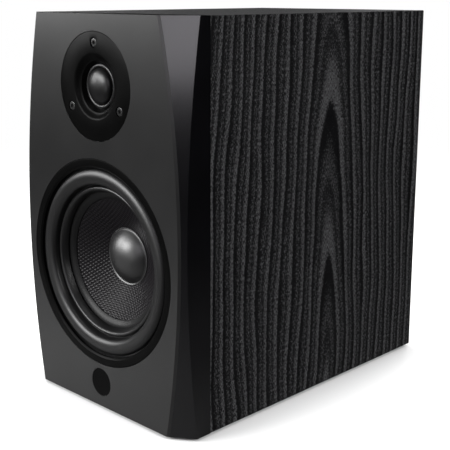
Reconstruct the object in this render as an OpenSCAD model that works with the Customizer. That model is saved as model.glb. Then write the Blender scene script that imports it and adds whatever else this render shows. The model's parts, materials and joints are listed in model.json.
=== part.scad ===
/* [Cabinet] */
// Width of the wooden cabinet and of the baffle
cabinet_w = 204; // [200:1:216]
// Height of the wooden cabinet, without its feet
cabinet_h = 330; // [324:1:340]
// Depth of the wooden cabinet behind the baffle
cabinet_d = 284; // [270:1:300]
// Thickness of every cabinet panel
panel_t = 15; // [12:1:16]
// Height of the rubber feet
foot_h = 2.5; // [2:0.5:5]
// Radius of each rubber foot
foot_r = 9; // [6:0.5:12]

/* [Front baffle] */
// Thickness of the moulded baffle behind its face plate
baffle_t = 27.5; // [26:0.5:30]
// Thickness of the satin face plate and of the badge
plate_t = 1.5; // [1:0.25:2]
// Radius of the barrel curve along each side of the face
barrel_r = 800; // [780:10:900]
// Half width of the face at the widest point of the barrel curve
barrel_half_w = 96; // [95:0.5:97]
// Height of that widest point above the cabinet's underside
barrel_z = 150; // [145:1:160]
// How far the side bevel widens for each millimetre of depth
bevel_slope = 1.4; // [1.3:0.05:1.6]
// Radius of the round badge
badge_r = 12; // [10:0.5:14]
// Height of the badge above the cabinet's underside
badge_z = 21.8; // [20:0.5:24]

/* [Woofer] */
// Height of the woofer's axis above the cabinet's underside
woofer_z = 126.2; // [124:0.5:130]
// Outer radius of the woofer's trim ring
woofer_r = 87.8; // [87:0.2:89]
// Radius of the woofer's magnet
woofer_magnet_r = 45; // [40:1:48]

/* [Tweeter] */
// Height of the tweeter's axis above the cabinet's underside
tweeter_z = 272.6; // [272:0.2:274]
// Outer radius of the tweeter's face plate
tweeter_r = 43.9; // [43:0.2:45]
// Circle radius of the tweeter's three screws
tweeter_screw_r = 35; // [34.5:0.5:36]

/* [Back] */
// Height of the port's axis above the cabinet's underside
port_z = 262; // [255:1:268]
// Inner radius of the port tube
port_r = 22; // [18:1:23]
// Length of the port tube
port_len = 120; // [90:5:140]
// Height of the terminal cup's centre above the cabinet's underside
terminal_z = 78; // [70:1:90]
// Distance between the two binding posts
post_pitch = 19; // [19:1:24]
// Radius of the socket in each binding post
socket_r = 2.05; // [2.05:0.05:2.1]

/* [Hidden] */
$fn = 96;

// Depth, front and back planes; the origin is under the middle of the whole speaker.
depth = plate_t + baffle_t + cabinet_d;
front_y = -depth / 2;
back_y = depth / 2;
joint_y = front_y + plate_t + baffle_t;
half_w = cabinet_w / 2;
inner_w = cabinet_w - 2 * panel_t;
inner_h = cabinet_h - 2 * panel_t;
inner_back_y = back_y - panel_t;
cut = 1;
gap = 0.3;

// Woofer stations: depths are measured back from the front plane.
trim_t = 3.2;
trim_inner_r = 80.3;
flange_t = 3.8;
flange_r = woofer_r - gap;
flange_back = trim_t + flange_t;
shelf_d = trim_t + 2.4;
gasket_t = 1;
woofer_hole_r = 75.8;
woofer_screw_circle = 83.8;
woofer_screw_head_r = 3.2;
woofer_screw_n = 8;
roll_outer_r = 79.2;
basket_bore_r = 73.4;
roll_mid_r = 72.3;
bead_outer_r = 62.2;
roll_base_d = 5.6;
roll_front_d = 0.4;
surround_t = 0.9;
bead_top = 6.9;
bead_inner_r = 58.2;
valley_d = 9.2;
band_front = 14.3;
band_inner_r = 52;
weave_front = 17.3;
cap_r = 24;
cap_front = 32.6;
cap_h = 11;
cone_t = 1;
neck_r = 16.6;
neck_front = 36.6;
former_t = 0.4;
strip_r = 64.5;
strip_angle = 30;
lead_y = 4.5;
lead_d = 33;
spider_d = 43;
spider_outer_r = 51.5;
seat_d = 53;
basket_seat_t = 3;
woofer_plate_t = 6;
magnet_t = 17;
yoke_t = 6;
pole_r = 15.4;
gap_r = 18;
plate_front = seat_d + basket_seat_t;
magnet_front = plate_front + woofer_plate_t;
yoke_front = magnet_front + magnet_t;

// Tweeter stations.
tweeter_plate_t = 4;
tweeter_hub_r = 27;
recess_r = 25.5;
recess_rim_r = 21.1;
recess_rim_d = 3.7;
dome_opening_r = 18.6;
hub_back = 7.4;
dome_r = 14.6;
dome_front = 6.9;
dome_h = 6.2;
tweeter_motor_r = 29.5;
tweeter_hole_r = 30.5;
tweeter_pole_r = 13.2;
tweeter_gap_r = 14.8;
tweeter_plate_front = 8.2;
tweeter_magnet_front = 12.2;
tweeter_yoke_front = 24.2;
tweeter_yoke_back = 28.2;
rear_cup_len = 20;
rear_cup_r = 26;
tweeter_screw_shank_r = 1.6;
tweeter_screw_head_r = 3.8;

// Port stations.
port_wall = 2.5;
port_flange_w = 16;
port_neck_w = 12.5;
port_flange_t = 3.5;
port_mouth = 14;

// Terminal cup stations; heights are measured out from the back plane.
cup_w = 92;
cup_h = 70;
cup_flange_t = 3;
cup_wall = 2.5;
cup_depth = 30;
cup_pocket_w = 70;
cup_pocket_h = 46;
post_r = 3;
post_shoulder_r = 6.5;
post_shoulder_t = 3;
insert_r = 4.6;
insert_t = 8;
knob_r = 7;
knob_len = 17;
thread_clear = 0.05;
floor_y = back_y - cup_depth;
seat_y = floor_y + post_shoulder_t;
post_end_y = seat_y + 20;

// Crossover board on the inside of the back panel.
board_w = 120;
board_h = 76;
board_t = 1.6;
board_z = 165;
board_back_y = inner_back_y - 6;
board_y = board_back_y - board_t;
board_hole_x = board_w / 2 - 6;
board_hole_z = board_h / 2 - 6;

// Places a shape whose +Z runs back into the cabinet, from the front plane at height z.
module into_front(z) {
  translate([0, front_y, foot_h + z]) rotate([-90, 0, 0]) children();
}

// Places a shape whose +Z points out of the back, from the back plane at height z.
module out_of_back(x, y, z) {
  translate([x, y, foot_h + z]) rotate([-90, 0, 0]) children();
}

// A ring from depth d0 to d1 between two radii.
module ring(inner, outer, d0, d1) {
  translate([0, 0, d0]) difference() {
    cylinder(r = outer, h = d1 - d0);
    translate([0, 0, -cut]) cylinder(r = inner, h = d1 - d0 + 2 * cut);
  }
}

// Points of an elliptic arc in radius and depth, bulging forward, from angle a0 to a1.
function arc(cx, cd, rx, rd, a0, a1, n) =
  [for (i = [0:n]) let (a = a0 + (a1 - a0) * i / n) [cx + rx * cos(a), cd - rd * sin(a)]];

function reversed(list) = [for (i = [len(list) - 1:-1:0]) list[i]];

// The unit vector square to a line of points at point i, on the side away from the front.
function normal_at(line, i) = let (
  n = len(line), d = line[min(i + 1, n - 1)] - line[max(i - 1, 0)])
  [d[1], -d[0]] / norm(d);

// A revolved sheet of thickness t behind a front line that runs inwards.
module revolved_sheet(line, t) {
  back = [for (i = [0:len(line) - 1]) line[i] + t * normal_at(line, i)];
  rotate_extrude() polygon(concat(line, reversed([for (p = back) [max(p[0], 0), p[1]]])));
}

// The front line of a spherical dome, from its rim to its middle.
function dome_line(rim_r, rim_d, h, n) = let (
  sphere_r = (rim_r * rim_r + h * h) / (2 * h), half_angle = asin(rim_r / sphere_r))
  [for (i = [n:-1:0]) let (a = half_angle * i / n)
    [sphere_r * sin(a), rim_d - h + sphere_r * (1 - cos(a))]];

// A wire of radius r along a list of points, swept with eight sides.
function unit(v) = v / norm(v);
function side_of(t) = unit(cross(t, abs(t[2]) > 0.8 ? [1, 0, 0] : [0, 0, 1]));
module wire(points, r) {
  sides = 8;
  n = len(points);
  tangents = [for (i = [0:n - 1]) unit(points[min(i + 1, n - 1)] - points[max(i - 1, 0)])];
  verts = [for (i = [0:n - 1]) let (u = side_of(tangents[i]), v = cross(tangents[i], u))
    for (k = [0:sides - 1]) points[i] + r * (cos(360 * k / sides) * u + sin(360 * k / sides) * v)];
  walls = [for (i = [0:n - 2]) for (k = [0:sides - 1]) let (m = (k + 1) % sides)
    [i * sides + k, i * sides + m, (i + 1) * sides + m, (i + 1) * sides + k]];
  ends = [[for (k = [sides - 1:-1:0]) k], [for (k = [0:sides - 1]) (n - 1) * sides + k]];
  polyhedron(points = verts, faces = concat(walls, ends));
}

// Points along a smooth curve through four control points.
function bezier(a, b, c, d, n) = [for (i = [0:n]) let (t = i / n, s = 1 - t)
  s * s * s * a + 3 * s * s * t * b + 3 * s * t * t * c + t * t * t * d];

// ---- Cabinet ----

// A mitred panel of the cabinet sleeve, length along the wall, lying on its outer face.
module mitred_panel(length) {
  translate([0, joint_y, 0]) rotate([-90, 0, 0])
    linear_extrude(height = cabinet_d)
      polygon([[-length / 2, 0], [length / 2, 0],
               [length / 2 - panel_t, -panel_t], [-length / 2 + panel_t, -panel_t]]);
}

module side_panel(side) {
  color("#191919") translate([side * half_w, 0, foot_h + cabinet_h / 2])
    rotate([0, -side * 90, 0]) mitred_panel(cabinet_h);
}

module top_panel() {
  color("#191919") translate([0, 0, foot_h + cabinet_h])
    rotate([0, 180, 0]) mitred_panel(cabinet_w);
}

module bottom_panel() {
  color("#191919") translate([0, 0, foot_h]) mitred_panel(cabinet_w);
}

module back_panel() {
  color("#191919") difference() {
    translate([-inner_w / 2, inner_back_y, foot_h + panel_t]) cube([inner_w, panel_t, inner_h]);
    // Port hole with a rebate for the port's flange
    out_of_back(0, inner_back_y - cut, port_z)
      cylinder(r = port_r + port_neck_w + gap, h = panel_t + 2 * cut);
    out_of_back(0, back_y - port_flange_t, port_z)
      cylinder(r = port_r + port_flange_w + gap, h = port_flange_t + cut);
    // Terminal cup's rebate and opening
    terminal_block(cup_w + 2 * gap, cup_h + 2 * gap, back_y - cup_flange_t, cup_flange_t + cut);
    terminal_block(cup_pocket_w + 2 * cup_wall + 2, cup_pocket_h + 2 * cup_wall + 2,
                   inner_back_y - cut, panel_t + 2 * cut);
  }
}

module terminal_block(w, h, y, d) {
  translate([-w / 2, y, foot_h + terminal_z - h / 2]) cube([w, d, h]);
}

module shelf_brace() {
  brace_z = foot_h + 210;
  brace_t = 12;
  brace_front = -95;
  rail = 32;
  color("#b08d5a") difference() {
    translate([-inner_w / 2, brace_front, brace_z])
      cube([inner_w, inner_back_y - brace_front, brace_t]);
    translate([-inner_w / 2 + rail, brace_front + rail, brace_z - cut])
      cube([inner_w - 2 * rail, inner_back_y - brace_front - 2 * rail, brace_t + 2 * cut]);
  }
}

// Foam sheets against both side panels, under and over the shelf brace.
module acoustic_foam() {
  foam_t = 14;
  foam_front = -80;
  foam_back = inner_back_y - 12;
  color("#3b3d42") for (side = [-1, 1]) for (span = [[24, 206], [228, 308]])
    translate([side * (inner_w / 2 - foam_t / 2) - foam_t / 2, foam_front, foot_h + span[0]])
      cube([foam_t, foam_back - foam_front, span[1] - span[0]]);
}

// The block between two depths behind the front plane, cut to the barrel's bevelled outline.
module barrel_block(d0, d1) {
  span = depth / 2;
  intersection() {
    translate([-half_w, front_y + d0, foot_h]) cube([cabinet_w, d1 - d0, cabinet_h]);
    side_cone(1, span);
    side_cone(-1, span);
  }
}

module side_cone(side, span) {
  translate([side * (barrel_half_w - barrel_r), front_y - span, foot_h + barrel_z])
    rotate([-90, 0, 0])
      cylinder(r1 = barrel_r - bevel_slope * span, r2 = barrel_r + bevel_slope * span,
               h = 2 * span, $fn = 256);
}

module front_baffle() {
  total = plate_t + baffle_t;
  color("#0d0c12") difference() {
    barrel_block(plate_t, total);
    into_front(woofer_z) {
      cylinder(r = woofer_r + gap, h = flange_back + gasket_t);
      cylinder(r = woofer_hole_r, h = total + cut);
      screw_circle(woofer_screw_n, woofer_screw_circle) cylinder(r = 2.1, h = 24);
    }
    into_front(tweeter_z) {
      cylinder(r = tweeter_r + gap, h = tweeter_plate_t + 0.5);
      cylinder(r = tweeter_hole_r, h = total + cut);
      screw_circle(3, tweeter_screw_r) cylinder(r = tweeter_screw_shank_r + 0.15, h = 22);
    }
  }
}

module baffle_face_plate() {
  color("#46474c") difference() {
    barrel_block(0, plate_t);
    into_front(woofer_z) translate([0, 0, -cut])
      cylinder(r = woofer_r + gap, h = plate_t + 2 * cut);
    into_front(tweeter_z) translate([0, 0, -cut])
      cylinder(r = tweeter_r + gap, h = plate_t + 2 * cut);
    into_front(badge_z) translate([0, 0, -cut])
      cylinder(r = badge_r + gap, h = plate_t + 2 * cut);
  }
}

module badge() {
  color("#0a0a0b") into_front(badge_z) cylinder(r = badge_r, h = plate_t);
}

module foot(side_x, side_y) {
  inset = 22;
  y = side_y < 0 ? front_y + inset + 4 : back_y - inset;
  color("#101010") translate([side_x * (half_w - inset), y, 0])
    cylinder(r1 = foot_r - 0.5, r2 = foot_r, h = foot_h);
}

// ---- Woofer ----

// Copies a shape around a circle, the first copy at the top.
module screw_circle(n, r) {
  for (i = [0:n - 1]) rotate([0, 0, -90 + 360 * i / n]) translate([r, 0, 0]) children();
}

module woofer_trim_ring() {
  color("#141415") into_front(woofer_z) ring(trim_inner_r, woofer_r, 0, trim_t);
}

module woofer_basket() {
  wall = 2.2;
  color("#1b1b1d") into_front(woofer_z) difference() {
    rotate_extrude() polygon([
      [basket_bore_r, shelf_d], [trim_inner_r + 0.5, shelf_d], [trim_inner_r + 0.5, trim_t],
      [flange_r, trim_t], [flange_r, flange_back],
      [woofer_hole_r - 0.8, flange_back], [woofer_hole_r - 0.8, flange_back + 3],
      [spider_outer_r + 4, spider_d - 1], [spider_outer_r + 4, spider_d + wall],
      [woofer_magnet_r - 4, seat_d], [woofer_magnet_r - 4, plate_front],
      [gap_r + 5, plate_front], [gap_r + 5, seat_d],
      [woofer_magnet_r - 7.5, seat_d], [spider_outer_r - 6, spider_d + wall],
      [spider_outer_r - 6, spider_d], [spider_outer_r + 1, spider_d],
      [basket_bore_r, flange_back + 2]
    ]);
    // Six windows between the legs
    for (i = [0:5]) rotate([0, 0, 60 * i])
      translate([spider_outer_r - 4, -19, flange_back + 7]) cube([40, 38, spider_d - 4 - flange_back - 7]);
    // Holes for the two leads
    rotate([0, 0, strip_angle]) for (y = [-lead_y, lead_y])
      translate([spider_outer_r, y, lead_d]) rotate([0, 90, 0]) cylinder(r = 1.3, h = 20);
    // Screw holes, countersunk
    screw_circle(woofer_screw_n, woofer_screw_circle) {
      translate([0, 0, trim_t - cut]) cylinder(r = 2.4, h = flange_t + 2 * cut);
      translate([0, 0, trim_t - 0.01]) cylinder(r = woofer_screw_head_r + gap, h = 2);
    }
  }
}

module woofer_gasket() {
  color("#2a2a2a") into_front(woofer_z) difference() {
    ring(woofer_hole_r + 0.6, flange_r, flange_back, flange_back + gasket_t);
    screw_circle(woofer_screw_n, woofer_screw_circle)
      translate([0, 0, flange_back - cut]) cylinder(r = 2.4, h = gasket_t + 2 * cut);
  }
}

module woofer_screws() {
  color("#2c2c2e") into_front(woofer_z) screw_circle(woofer_screw_n, woofer_screw_circle) {
    difference() {
      translate([0, 0, trim_t + 0.1]) cylinder(r = woofer_screw_head_r, h = 1.8);
      translate([0, 0, trim_t]) cylinder(r = 1.6, h = 1.3, $fn = 6);
    }
    translate([0, 0, trim_t + 1.8]) cylinder(r = 2, h = 17);
  }
}

// The surround's front line: glued lip, half roll, then the raised bead over the cone's edge.
function surround_line() = concat(
  [[trim_inner_r, shelf_d - surround_t]],
  arc(roll_mid_r, roll_base_d, roll_outer_r - roll_mid_r, roll_base_d - roll_front_d, 10, 165, 15),
  [[bead_outer_r + 3.1, valley_d - 0.7], [bead_outer_r + 2.4, valley_d],
   [bead_outer_r + 1.4, bead_top + 1.1], [bead_outer_r - 0.3, bead_top],
   [bead_inner_r + 2.1, bead_top + 1.1], [bead_inner_r + 1.1, bead_top + 3],
   [bead_inner_r + 0.4, bead_top + 5], [bead_inner_r, bead_top + 6.2]]);

module woofer_surround() {
  color("#0d0d0e") into_front(woofer_z) revolved_sheet(surround_line(), surround_t);
}

module woofer_cone() {
  color("#17161a") into_front(woofer_z) revolved_sheet([
    [bead_outer_r, band_front], [bead_inner_r - 0.8, band_front],
    [band_inner_r, weave_front], [cap_r, cap_front], [neck_r, neck_front]], cone_t);
}

module woofer_dust_cap() {
  color("#101011") into_front(woofer_z)
    revolved_sheet(dome_line(cap_r, cap_front - 0.4, cap_h, 12), 0.8);
}

module woofer_coil_former() {
  color("#b9a27a") into_front(woofer_z) ring(neck_r - 0.1 - former_t, neck_r - 0.1, 33, 66);
}

module woofer_coil_winding() {
  color("#b0622d") into_front(woofer_z) ring(neck_r - 0.05, neck_r + 0.7, 53, 65);
}

module woofer_spider() {
  folds = 14;
  line = [for (i = [folds:-1:0]) [neck_r + (spider_outer_r - neck_r) * i / folds,
    spider_d - 1 - (i > 0 && i < folds && i % 2 == 0 ? 1.6 : 0)]];
  color("#c9a25c") into_front(woofer_z) revolved_sheet(line, 0.8);
}

module woofer_top_plate() {
  color("#55585c") into_front(woofer_z) ring(gap_r, woofer_magnet_r - 2, plate_front, magnet_front);
}

module woofer_magnet() {
  color("#2e2e30") into_front(woofer_z) ring(23, woofer_magnet_r, magnet_front, yoke_front);
}

module woofer_yoke() {
  color("#55585c") into_front(woofer_z) difference() {
    union() {
      translate([0, 0, yoke_front]) cylinder(r = woofer_magnet_r - 2, h = yoke_t);
      translate([0, 0, plate_front - 1]) cylinder(r = pole_r, h = yoke_front - plate_front + 1 + cut);
    }
    translate([0, 0, plate_front - 2]) cylinder(r = 5, h = 60);
  }
}

// A small board on the lowest leg of the basket, with two spade tabs.
module woofer_terminal_strip() {
  color("#8a5a2b") into_front(woofer_z) rotate([0, 0, strip_angle]) {
    translate([strip_r, -9, 29]) cube([2, 18, 12]);
    for (y = [-lead_y - 1, lead_y - 1]) translate([strip_r + 2, y, 35.5]) cube([8, 2, 0.8]);
  }
}

// Two braided leads from the terminal strip to the back of the cone.
module woofer_tinsel_leads() {
  color("#c8b273") into_front(woofer_z) rotate([0, 0, strip_angle])
    for (y = [-lead_y, lead_y])
      wire(bezier([strip_r, y, lead_d], [50, y, lead_d], [46, y, 40], [33, y, 29.8], 10), 0.6);
}

// ---- Tweeter ----

module tweeter_faceplate() {
  shoulder = arc(recess_r, 1.2, 1.5, 1.2, 90, 140, 4);
  color("#161617") into_front(tweeter_z) difference() {
    rotate_extrude() polygon(concat(
      [[tweeter_r, 0], [tweeter_r, tweeter_plate_t], [tweeter_hub_r, tweeter_plate_t],
       [tweeter_hub_r, hub_back], [dome_opening_r, hub_back],
       [dome_opening_r, hub_back - 0.6], [recess_rim_r - 1.4, recess_rim_d + 0.4],
       [recess_rim_r - 0.5, recess_rim_d - 0.1], [recess_rim_r + 0.2, recess_rim_d - 0.3],
       [recess_rim_r + 1.4, recess_rim_d - 1.3]],
      reversed(shoulder)));
    screw_circle(3, tweeter_screw_r) {
      translate([0, 0, -cut]) cylinder(r = tweeter_screw_shank_r + 0.2, h = tweeter_plate_t + 2 * cut);
      translate([0, 0, -cut]) cylinder(r = tweeter_screw_head_r + gap, h = 2.4 + cut);
    }
  }
}

module tweeter_screws() {
  color("#222224") into_front(tweeter_z) screw_circle(3, tweeter_screw_r) {
    difference() {
      translate([0, 0, 0.4]) cylinder(r = tweeter_screw_head_r, h = 1.9);
      translate([0, 0, 0]) cylinder(r = 1.7, h = 1.7, $fn = 6);
    }
    translate([0, 0, 2.2]) cylinder(r = tweeter_screw_shank_r, h = 16);
  }
}

module tweeter_dome() {
  color("#18181a") into_front(tweeter_z)
    revolved_sheet(arc(0, dome_front, dome_r, dome_h, 0, 90, 12), 0.4);
}

module tweeter_surround() {
  line = concat([[22, hub_back + 0.1], [18.35, hub_back + 0.1]],
                arc(16.6, hub_back, 1.7, 1.5, 5, 175, 8), [[dome_r + 0.05, hub_back + 0.1]]);
  color("#101011") into_front(tweeter_z) revolved_sheet(line, 0.4);
}

module tweeter_voice_coil() {
  color("#b0622d") into_front(tweeter_z) ring(dome_r - 0.9, dome_r - 0.45, dome_front + 0.5, 13.4);
}

module tweeter_top_plate() {
  color("#55585c") into_front(tweeter_z)
    ring(tweeter_gap_r, tweeter_motor_r, tweeter_plate_front, tweeter_magnet_front);
}

module tweeter_magnet() {
  color("#2e2e30") into_front(tweeter_z)
    ring(18, tweeter_motor_r - 1, tweeter_magnet_front, tweeter_yoke_front);
}

module tweeter_yoke() {
  color("#55585c") into_front(tweeter_z) difference() {
    union() {
      translate([0, 0, tweeter_yoke_front])
        cylinder(r = tweeter_motor_r - 1, h = tweeter_yoke_back - tweeter_yoke_front);
      translate([0, 0, tweeter_plate_front + 0.4])
        cylinder(r = tweeter_pole_r, h = tweeter_yoke_front - tweeter_plate_front);
    }
    translate([0, 0, tweeter_plate_front - cut]) cylinder(r = 3, h = 30);
  }
}

module tweeter_rear_cup() {
  wall = 1.5;
  color("#161617") into_front(tweeter_z) translate([0, 0, tweeter_yoke_back]) difference() {
    cylinder(r = rear_cup_r, h = rear_cup_len);
    translate([0, 0, -cut]) cylinder(r = rear_cup_r - wall, h = rear_cup_len - wall + cut);
  }
}

// Two spade tabs on a small block under the tweeter's rear cup.
module tweeter_terminals() {
  color("#8a5a2b") into_front(tweeter_z) translate([0, 0, tweeter_yoke_back + 3]) {
    difference() {
      translate([-8, rear_cup_r - 3, 0]) cube([16, 6, 7]);
      translate([0, 0, -cut]) cylinder(r = rear_cup_r + 0.05, h = 7 + 2 * cut);
    }
    for (x = [-6, 3]) translate([x, rear_cup_r + 3, 3]) cube([3, 6, 0.8]);
  }
}

// ---- Crossover and wiring ----

module board_corners() {
  for (x = [-1, 1]) for (z = [-1, 1])
    translate([x * board_hole_x, 0, foot_h + board_z + z * board_hole_z]) children();
}

module crossover_board() {
  color("#2f5d3a") difference() {
    translate([-board_w / 2, board_y, foot_h + board_z - board_h / 2]) cube([board_w, board_t, board_h]);
    board_corners() translate([0, board_y - cut, 0]) rotate([-90, 0, 0])
      cylinder(r = 1.8, h = board_t + 2 * cut);
  }
}

// Four spacers with screws through the board into the back panel.
module crossover_standoffs() {
  color("#c4c4c6") board_corners() {
    translate([0, board_back_y, 0]) rotate([-90, 0, 0]) cylinder(r = 3.5, h = inner_back_y - board_back_y);
    translate([0, board_y - 2, 0]) rotate([-90, 0, 0]) cylinder(r = 3, h = 2);
    translate([0, board_y - 0.5, 0]) rotate([-90, 0, 0]) cylinder(r = 1.5, h = 3);
  }
}

// A coil of wire on a bobbin, standing on the board and facing into the cabinet.
module inductor(x, z, r, core, h) {
  translate([x, board_y - h, foot_h + board_z + z]) rotate([-90, 0, 0]) {
    color("#b0622d") ring(core, r - 2, 2, h - 2);
    color("#1c1c1e") ring(core - 1.5, r, 0, 2);
    color("#1c1c1e") ring(core - 1.5, r, h - 2, h);
    color("#1c1c1e") ring(core - 1.5, core, 1, h - 1);
  }
}

module woofer_inductor() { inductor(-34, 8, 21, 9, 22); }

module tweeter_inductor() { inductor(40, 17, 14, 6, 16); }

module crossover_capacitors() {
  color("#d8c9a0") for (c = [[8, 24, 9, 34], [10, 0, 7, 30]])
    translate([c[0] - c[3] / 2, board_y - c[2], foot_h + board_z + c[1]])
      rotate([0, 90, 0]) cylinder(r = c[2], h = c[3]);
}

module crossover_resistor() {
  color("#e4e1d8") translate([2, board_y - 9, foot_h + board_z - 27]) cube([40, 9, 9]);
}

// A red and a black wire side by side along one route.
module wire_pair(route, offset) {
  wire_r = 1.1;
  color("#a02020") wire([for (p = route) p + offset], wire_r);
  color("#151515") wire([for (p = route) p - offset], wire_r);
}

module input_wires() {
  top = foot_h + terminal_z + 8;
  wire_pair(bezier([0, floor_y - 20, top - 8], [0, 70, top], [0, 90, foot_h + board_z - 45],
                   [0, board_y - 1.4, foot_h + board_z - 34], 16), [post_pitch / 2, 0, 0]);
}

module woofer_wires() {
  tab = (strip_r + 9) * [cos(strip_angle), -sin(strip_angle)];
  wire_pair(bezier([tab[0], front_y + 38.5, foot_h + woofer_z + tab[1]], [72, -80, foot_h + 60],
                   [64, 60, foot_h + 95], [50, board_y - 1.4, foot_h + board_z - 14], 20),
            lead_y * [sin(strip_angle), 0, cos(strip_angle)]);
}

module tweeter_wires() {
  start_y = front_y + tweeter_yoke_back + 8;
  wire_pair(bezier([0, start_y, foot_h + tweeter_z - rear_cup_r - 8], [0, -20, foot_h + 260],
                   [-30, 60, foot_h + 192], [-40, board_y - 1.4, foot_h + board_z + 33], 22), [4.5, 0, 0]);
}

// ---- Back fittings ----

module port_tube() {
  // Quarter round flare at the mouth
  flare = [for (i = [0:8]) let (a = 90 * i / 8)
    [port_r + port_mouth * (1 - cos(a)), -port_mouth * (1 - sin(a))]];
  color("#121213") out_of_back(0, back_y, port_z) rotate_extrude() polygon(concat(
    [[port_r, -port_len]], flare,
    [[port_r + port_flange_w, 0], [port_r + port_flange_w, -port_flange_t],
     [port_r + port_neck_w, -port_flange_t], [port_r + 6, -port_mouth + 5],
     [port_r + port_wall, -port_mouth - 4], [port_r + port_wall, -port_len]]));
}

module cup_screw_places() {
  for (x = [-1, 1]) for (z = [-1, 1])
    translate([x * (cup_w / 2 - 6), 0, z * (cup_h / 2 - 6)]) children();
}

module terminal_cup() {
  color("#151516") difference() {
    union() {
      terminal_block(cup_w, cup_h, back_y - cup_flange_t, cup_flange_t);
      terminal_block(cup_pocket_w + 2 * cup_wall, cup_pocket_h + 2 * cup_wall,
                     floor_y - cup_wall, cup_depth + cup_wall - cup_flange_t + 0.5);
    }
    terminal_block(cup_pocket_w, cup_pocket_h, floor_y, cup_depth + cut);
    for (side = [-1, 1]) out_of_back(side * post_pitch / 2, floor_y - cup_wall - cut, terminal_z)
      cylinder(r = post_r + 0.2, h = cup_wall + 2 * cut);
    translate([0, 0, foot_h + terminal_z]) cup_screw_places() {
      translate([0, back_y - cup_flange_t - cut, 0]) rotate([-90, 0, 0]) cylinder(r = 1.8, h = cup_flange_t + 2 * cut);
      translate([0, back_y - 1.6, 0]) rotate([-90, 0, 0]) cylinder(r = 3.3, h = 1.6 + cut);
    }
  }
}

module terminal_cup_screws() {
  color("#2a2a2c") translate([0, 0, foot_h + terminal_z]) cup_screw_places() difference() {
    translate([0, back_y - 1.6, 0]) rotate([-90, 0, 0]) cylinder(r = 3, h = 1.4);
    translate([0, back_y - 1.3, 0]) rotate([-90, 0, 0]) cylinder(r = 1.4, h = 2, $fn = 6);
  }
}

// Both metal posts: a shoulder on the cup's floor, a stud through it and a socket in the end.
module binding_posts() {
  color("#c9a64b") for (side = [-1, 1]) out_of_back(side * post_pitch / 2, 0, terminal_z) difference() {
    union() {
      translate([0, 0, floor_y]) cylinder(r = post_shoulder_r, h = post_shoulder_t);
      translate([0, 0, floor_y - 18]) cylinder(r = post_r, h = post_end_y - floor_y + 18);
    }
    translate([0, 0, post_end_y - 17]) cylinder(r = socket_r, h = 17 + cut);
  }
}

// Two nuts behind the cup's floor that hold the posts.
module terminal_nuts() {
  color("#b8b8ba") for (side = [-1, 1]) out_of_back(side * post_pitch / 2, floor_y - cup_wall - 4, terminal_z)
    difference() {
      cylinder(r = 6, h = 4, $fn = 6);
      translate([0, 0, -cut]) cylinder(r = post_r + 0.02, h = 4 + 2 * cut);
    }
}

// The threaded metal insert that runs along the post.
module cap_insert(side) {
  color("#c9a64b") out_of_back(side * post_pitch / 2, seat_y + gap, terminal_z)
    ring(post_r + thread_clear, insert_r, 0, insert_t);
}

// The moulded cap around the insert, with finger ribs and a hole for the plug.
module terminal_cap(side, shade) {
  color(shade) out_of_back(side * post_pitch / 2, seat_y + gap, terminal_z) difference() {
    union() {
      cylinder(r = knob_r, h = knob_len + 6);
      for (i = [0:11]) rotate([0, 0, 30 * i]) translate([knob_r - 0.3, 0, 1]) cylinder(r = 0.8, h = knob_len, $fn = 16);
    }
    translate([0, 0, -cut]) cylinder(r = insert_r + thread_clear, h = insert_t + cut + 0.3);
    translate([0, 0, -cut]) cylinder(r = post_r + gap, h = knob_len + 20);
  }
}

module red_cap_insert() { cap_insert(-1); }
module black_cap_insert() { cap_insert(1); }
module red_terminal_cap() { terminal_cap(-1, "#a81c1c"); }
module black_terminal_cap() { terminal_cap(1, "#131313"); }

side_panel(-1);  // side_panel_left
side_panel(1);  // side_panel_right
top_panel();
bottom_panel();
back_panel();
shelf_brace();
acoustic_foam();
front_baffle();
baffle_face_plate();
badge();
foot(-1, -1);  // foot_front_left
foot(1, -1);  // foot_front_right
foot(-1, 1);  // foot_back_left
foot(1, 1);  // foot_back_right
woofer_trim_ring();
woofer_basket();
woofer_gasket();
woofer_screws();
woofer_surround();
woofer_cone();
woofer_dust_cap();
woofer_coil_former();
woofer_coil_winding();
woofer_spider();
woofer_top_plate();
woofer_magnet();
woofer_yoke();
woofer_terminal_strip();
woofer_tinsel_leads();
tweeter_faceplate();
tweeter_screws();
tweeter_dome();
tweeter_surround();
tweeter_voice_coil();
tweeter_top_plate();
tweeter_magnet();
tweeter_yoke();
tweeter_rear_cup();
tweeter_terminals();
crossover_board();
crossover_standoffs();
woofer_inductor();
tweeter_inductor();
crossover_capacitors();
crossover_resistor();
input_wires();
woofer_wires();
tweeter_wires();
port_tube();
terminal_cup();
terminal_cup_screws();
binding_posts();
terminal_nuts();
red_cap_insert();
black_cap_insert();
red_terminal_cap();
black_terminal_cap();
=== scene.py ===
"""Looks of a two-way bookshelf speaker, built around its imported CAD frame.

Every length is in metres, in the frame's own axes: the front faces -Y and up is +Z.
A depth along a driver's axis is measured back from the front plane.
"""

import json
import logging
import math
from dataclasses import dataclass, field
from enum import Enum
from typing import Callable, Sequence

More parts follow.
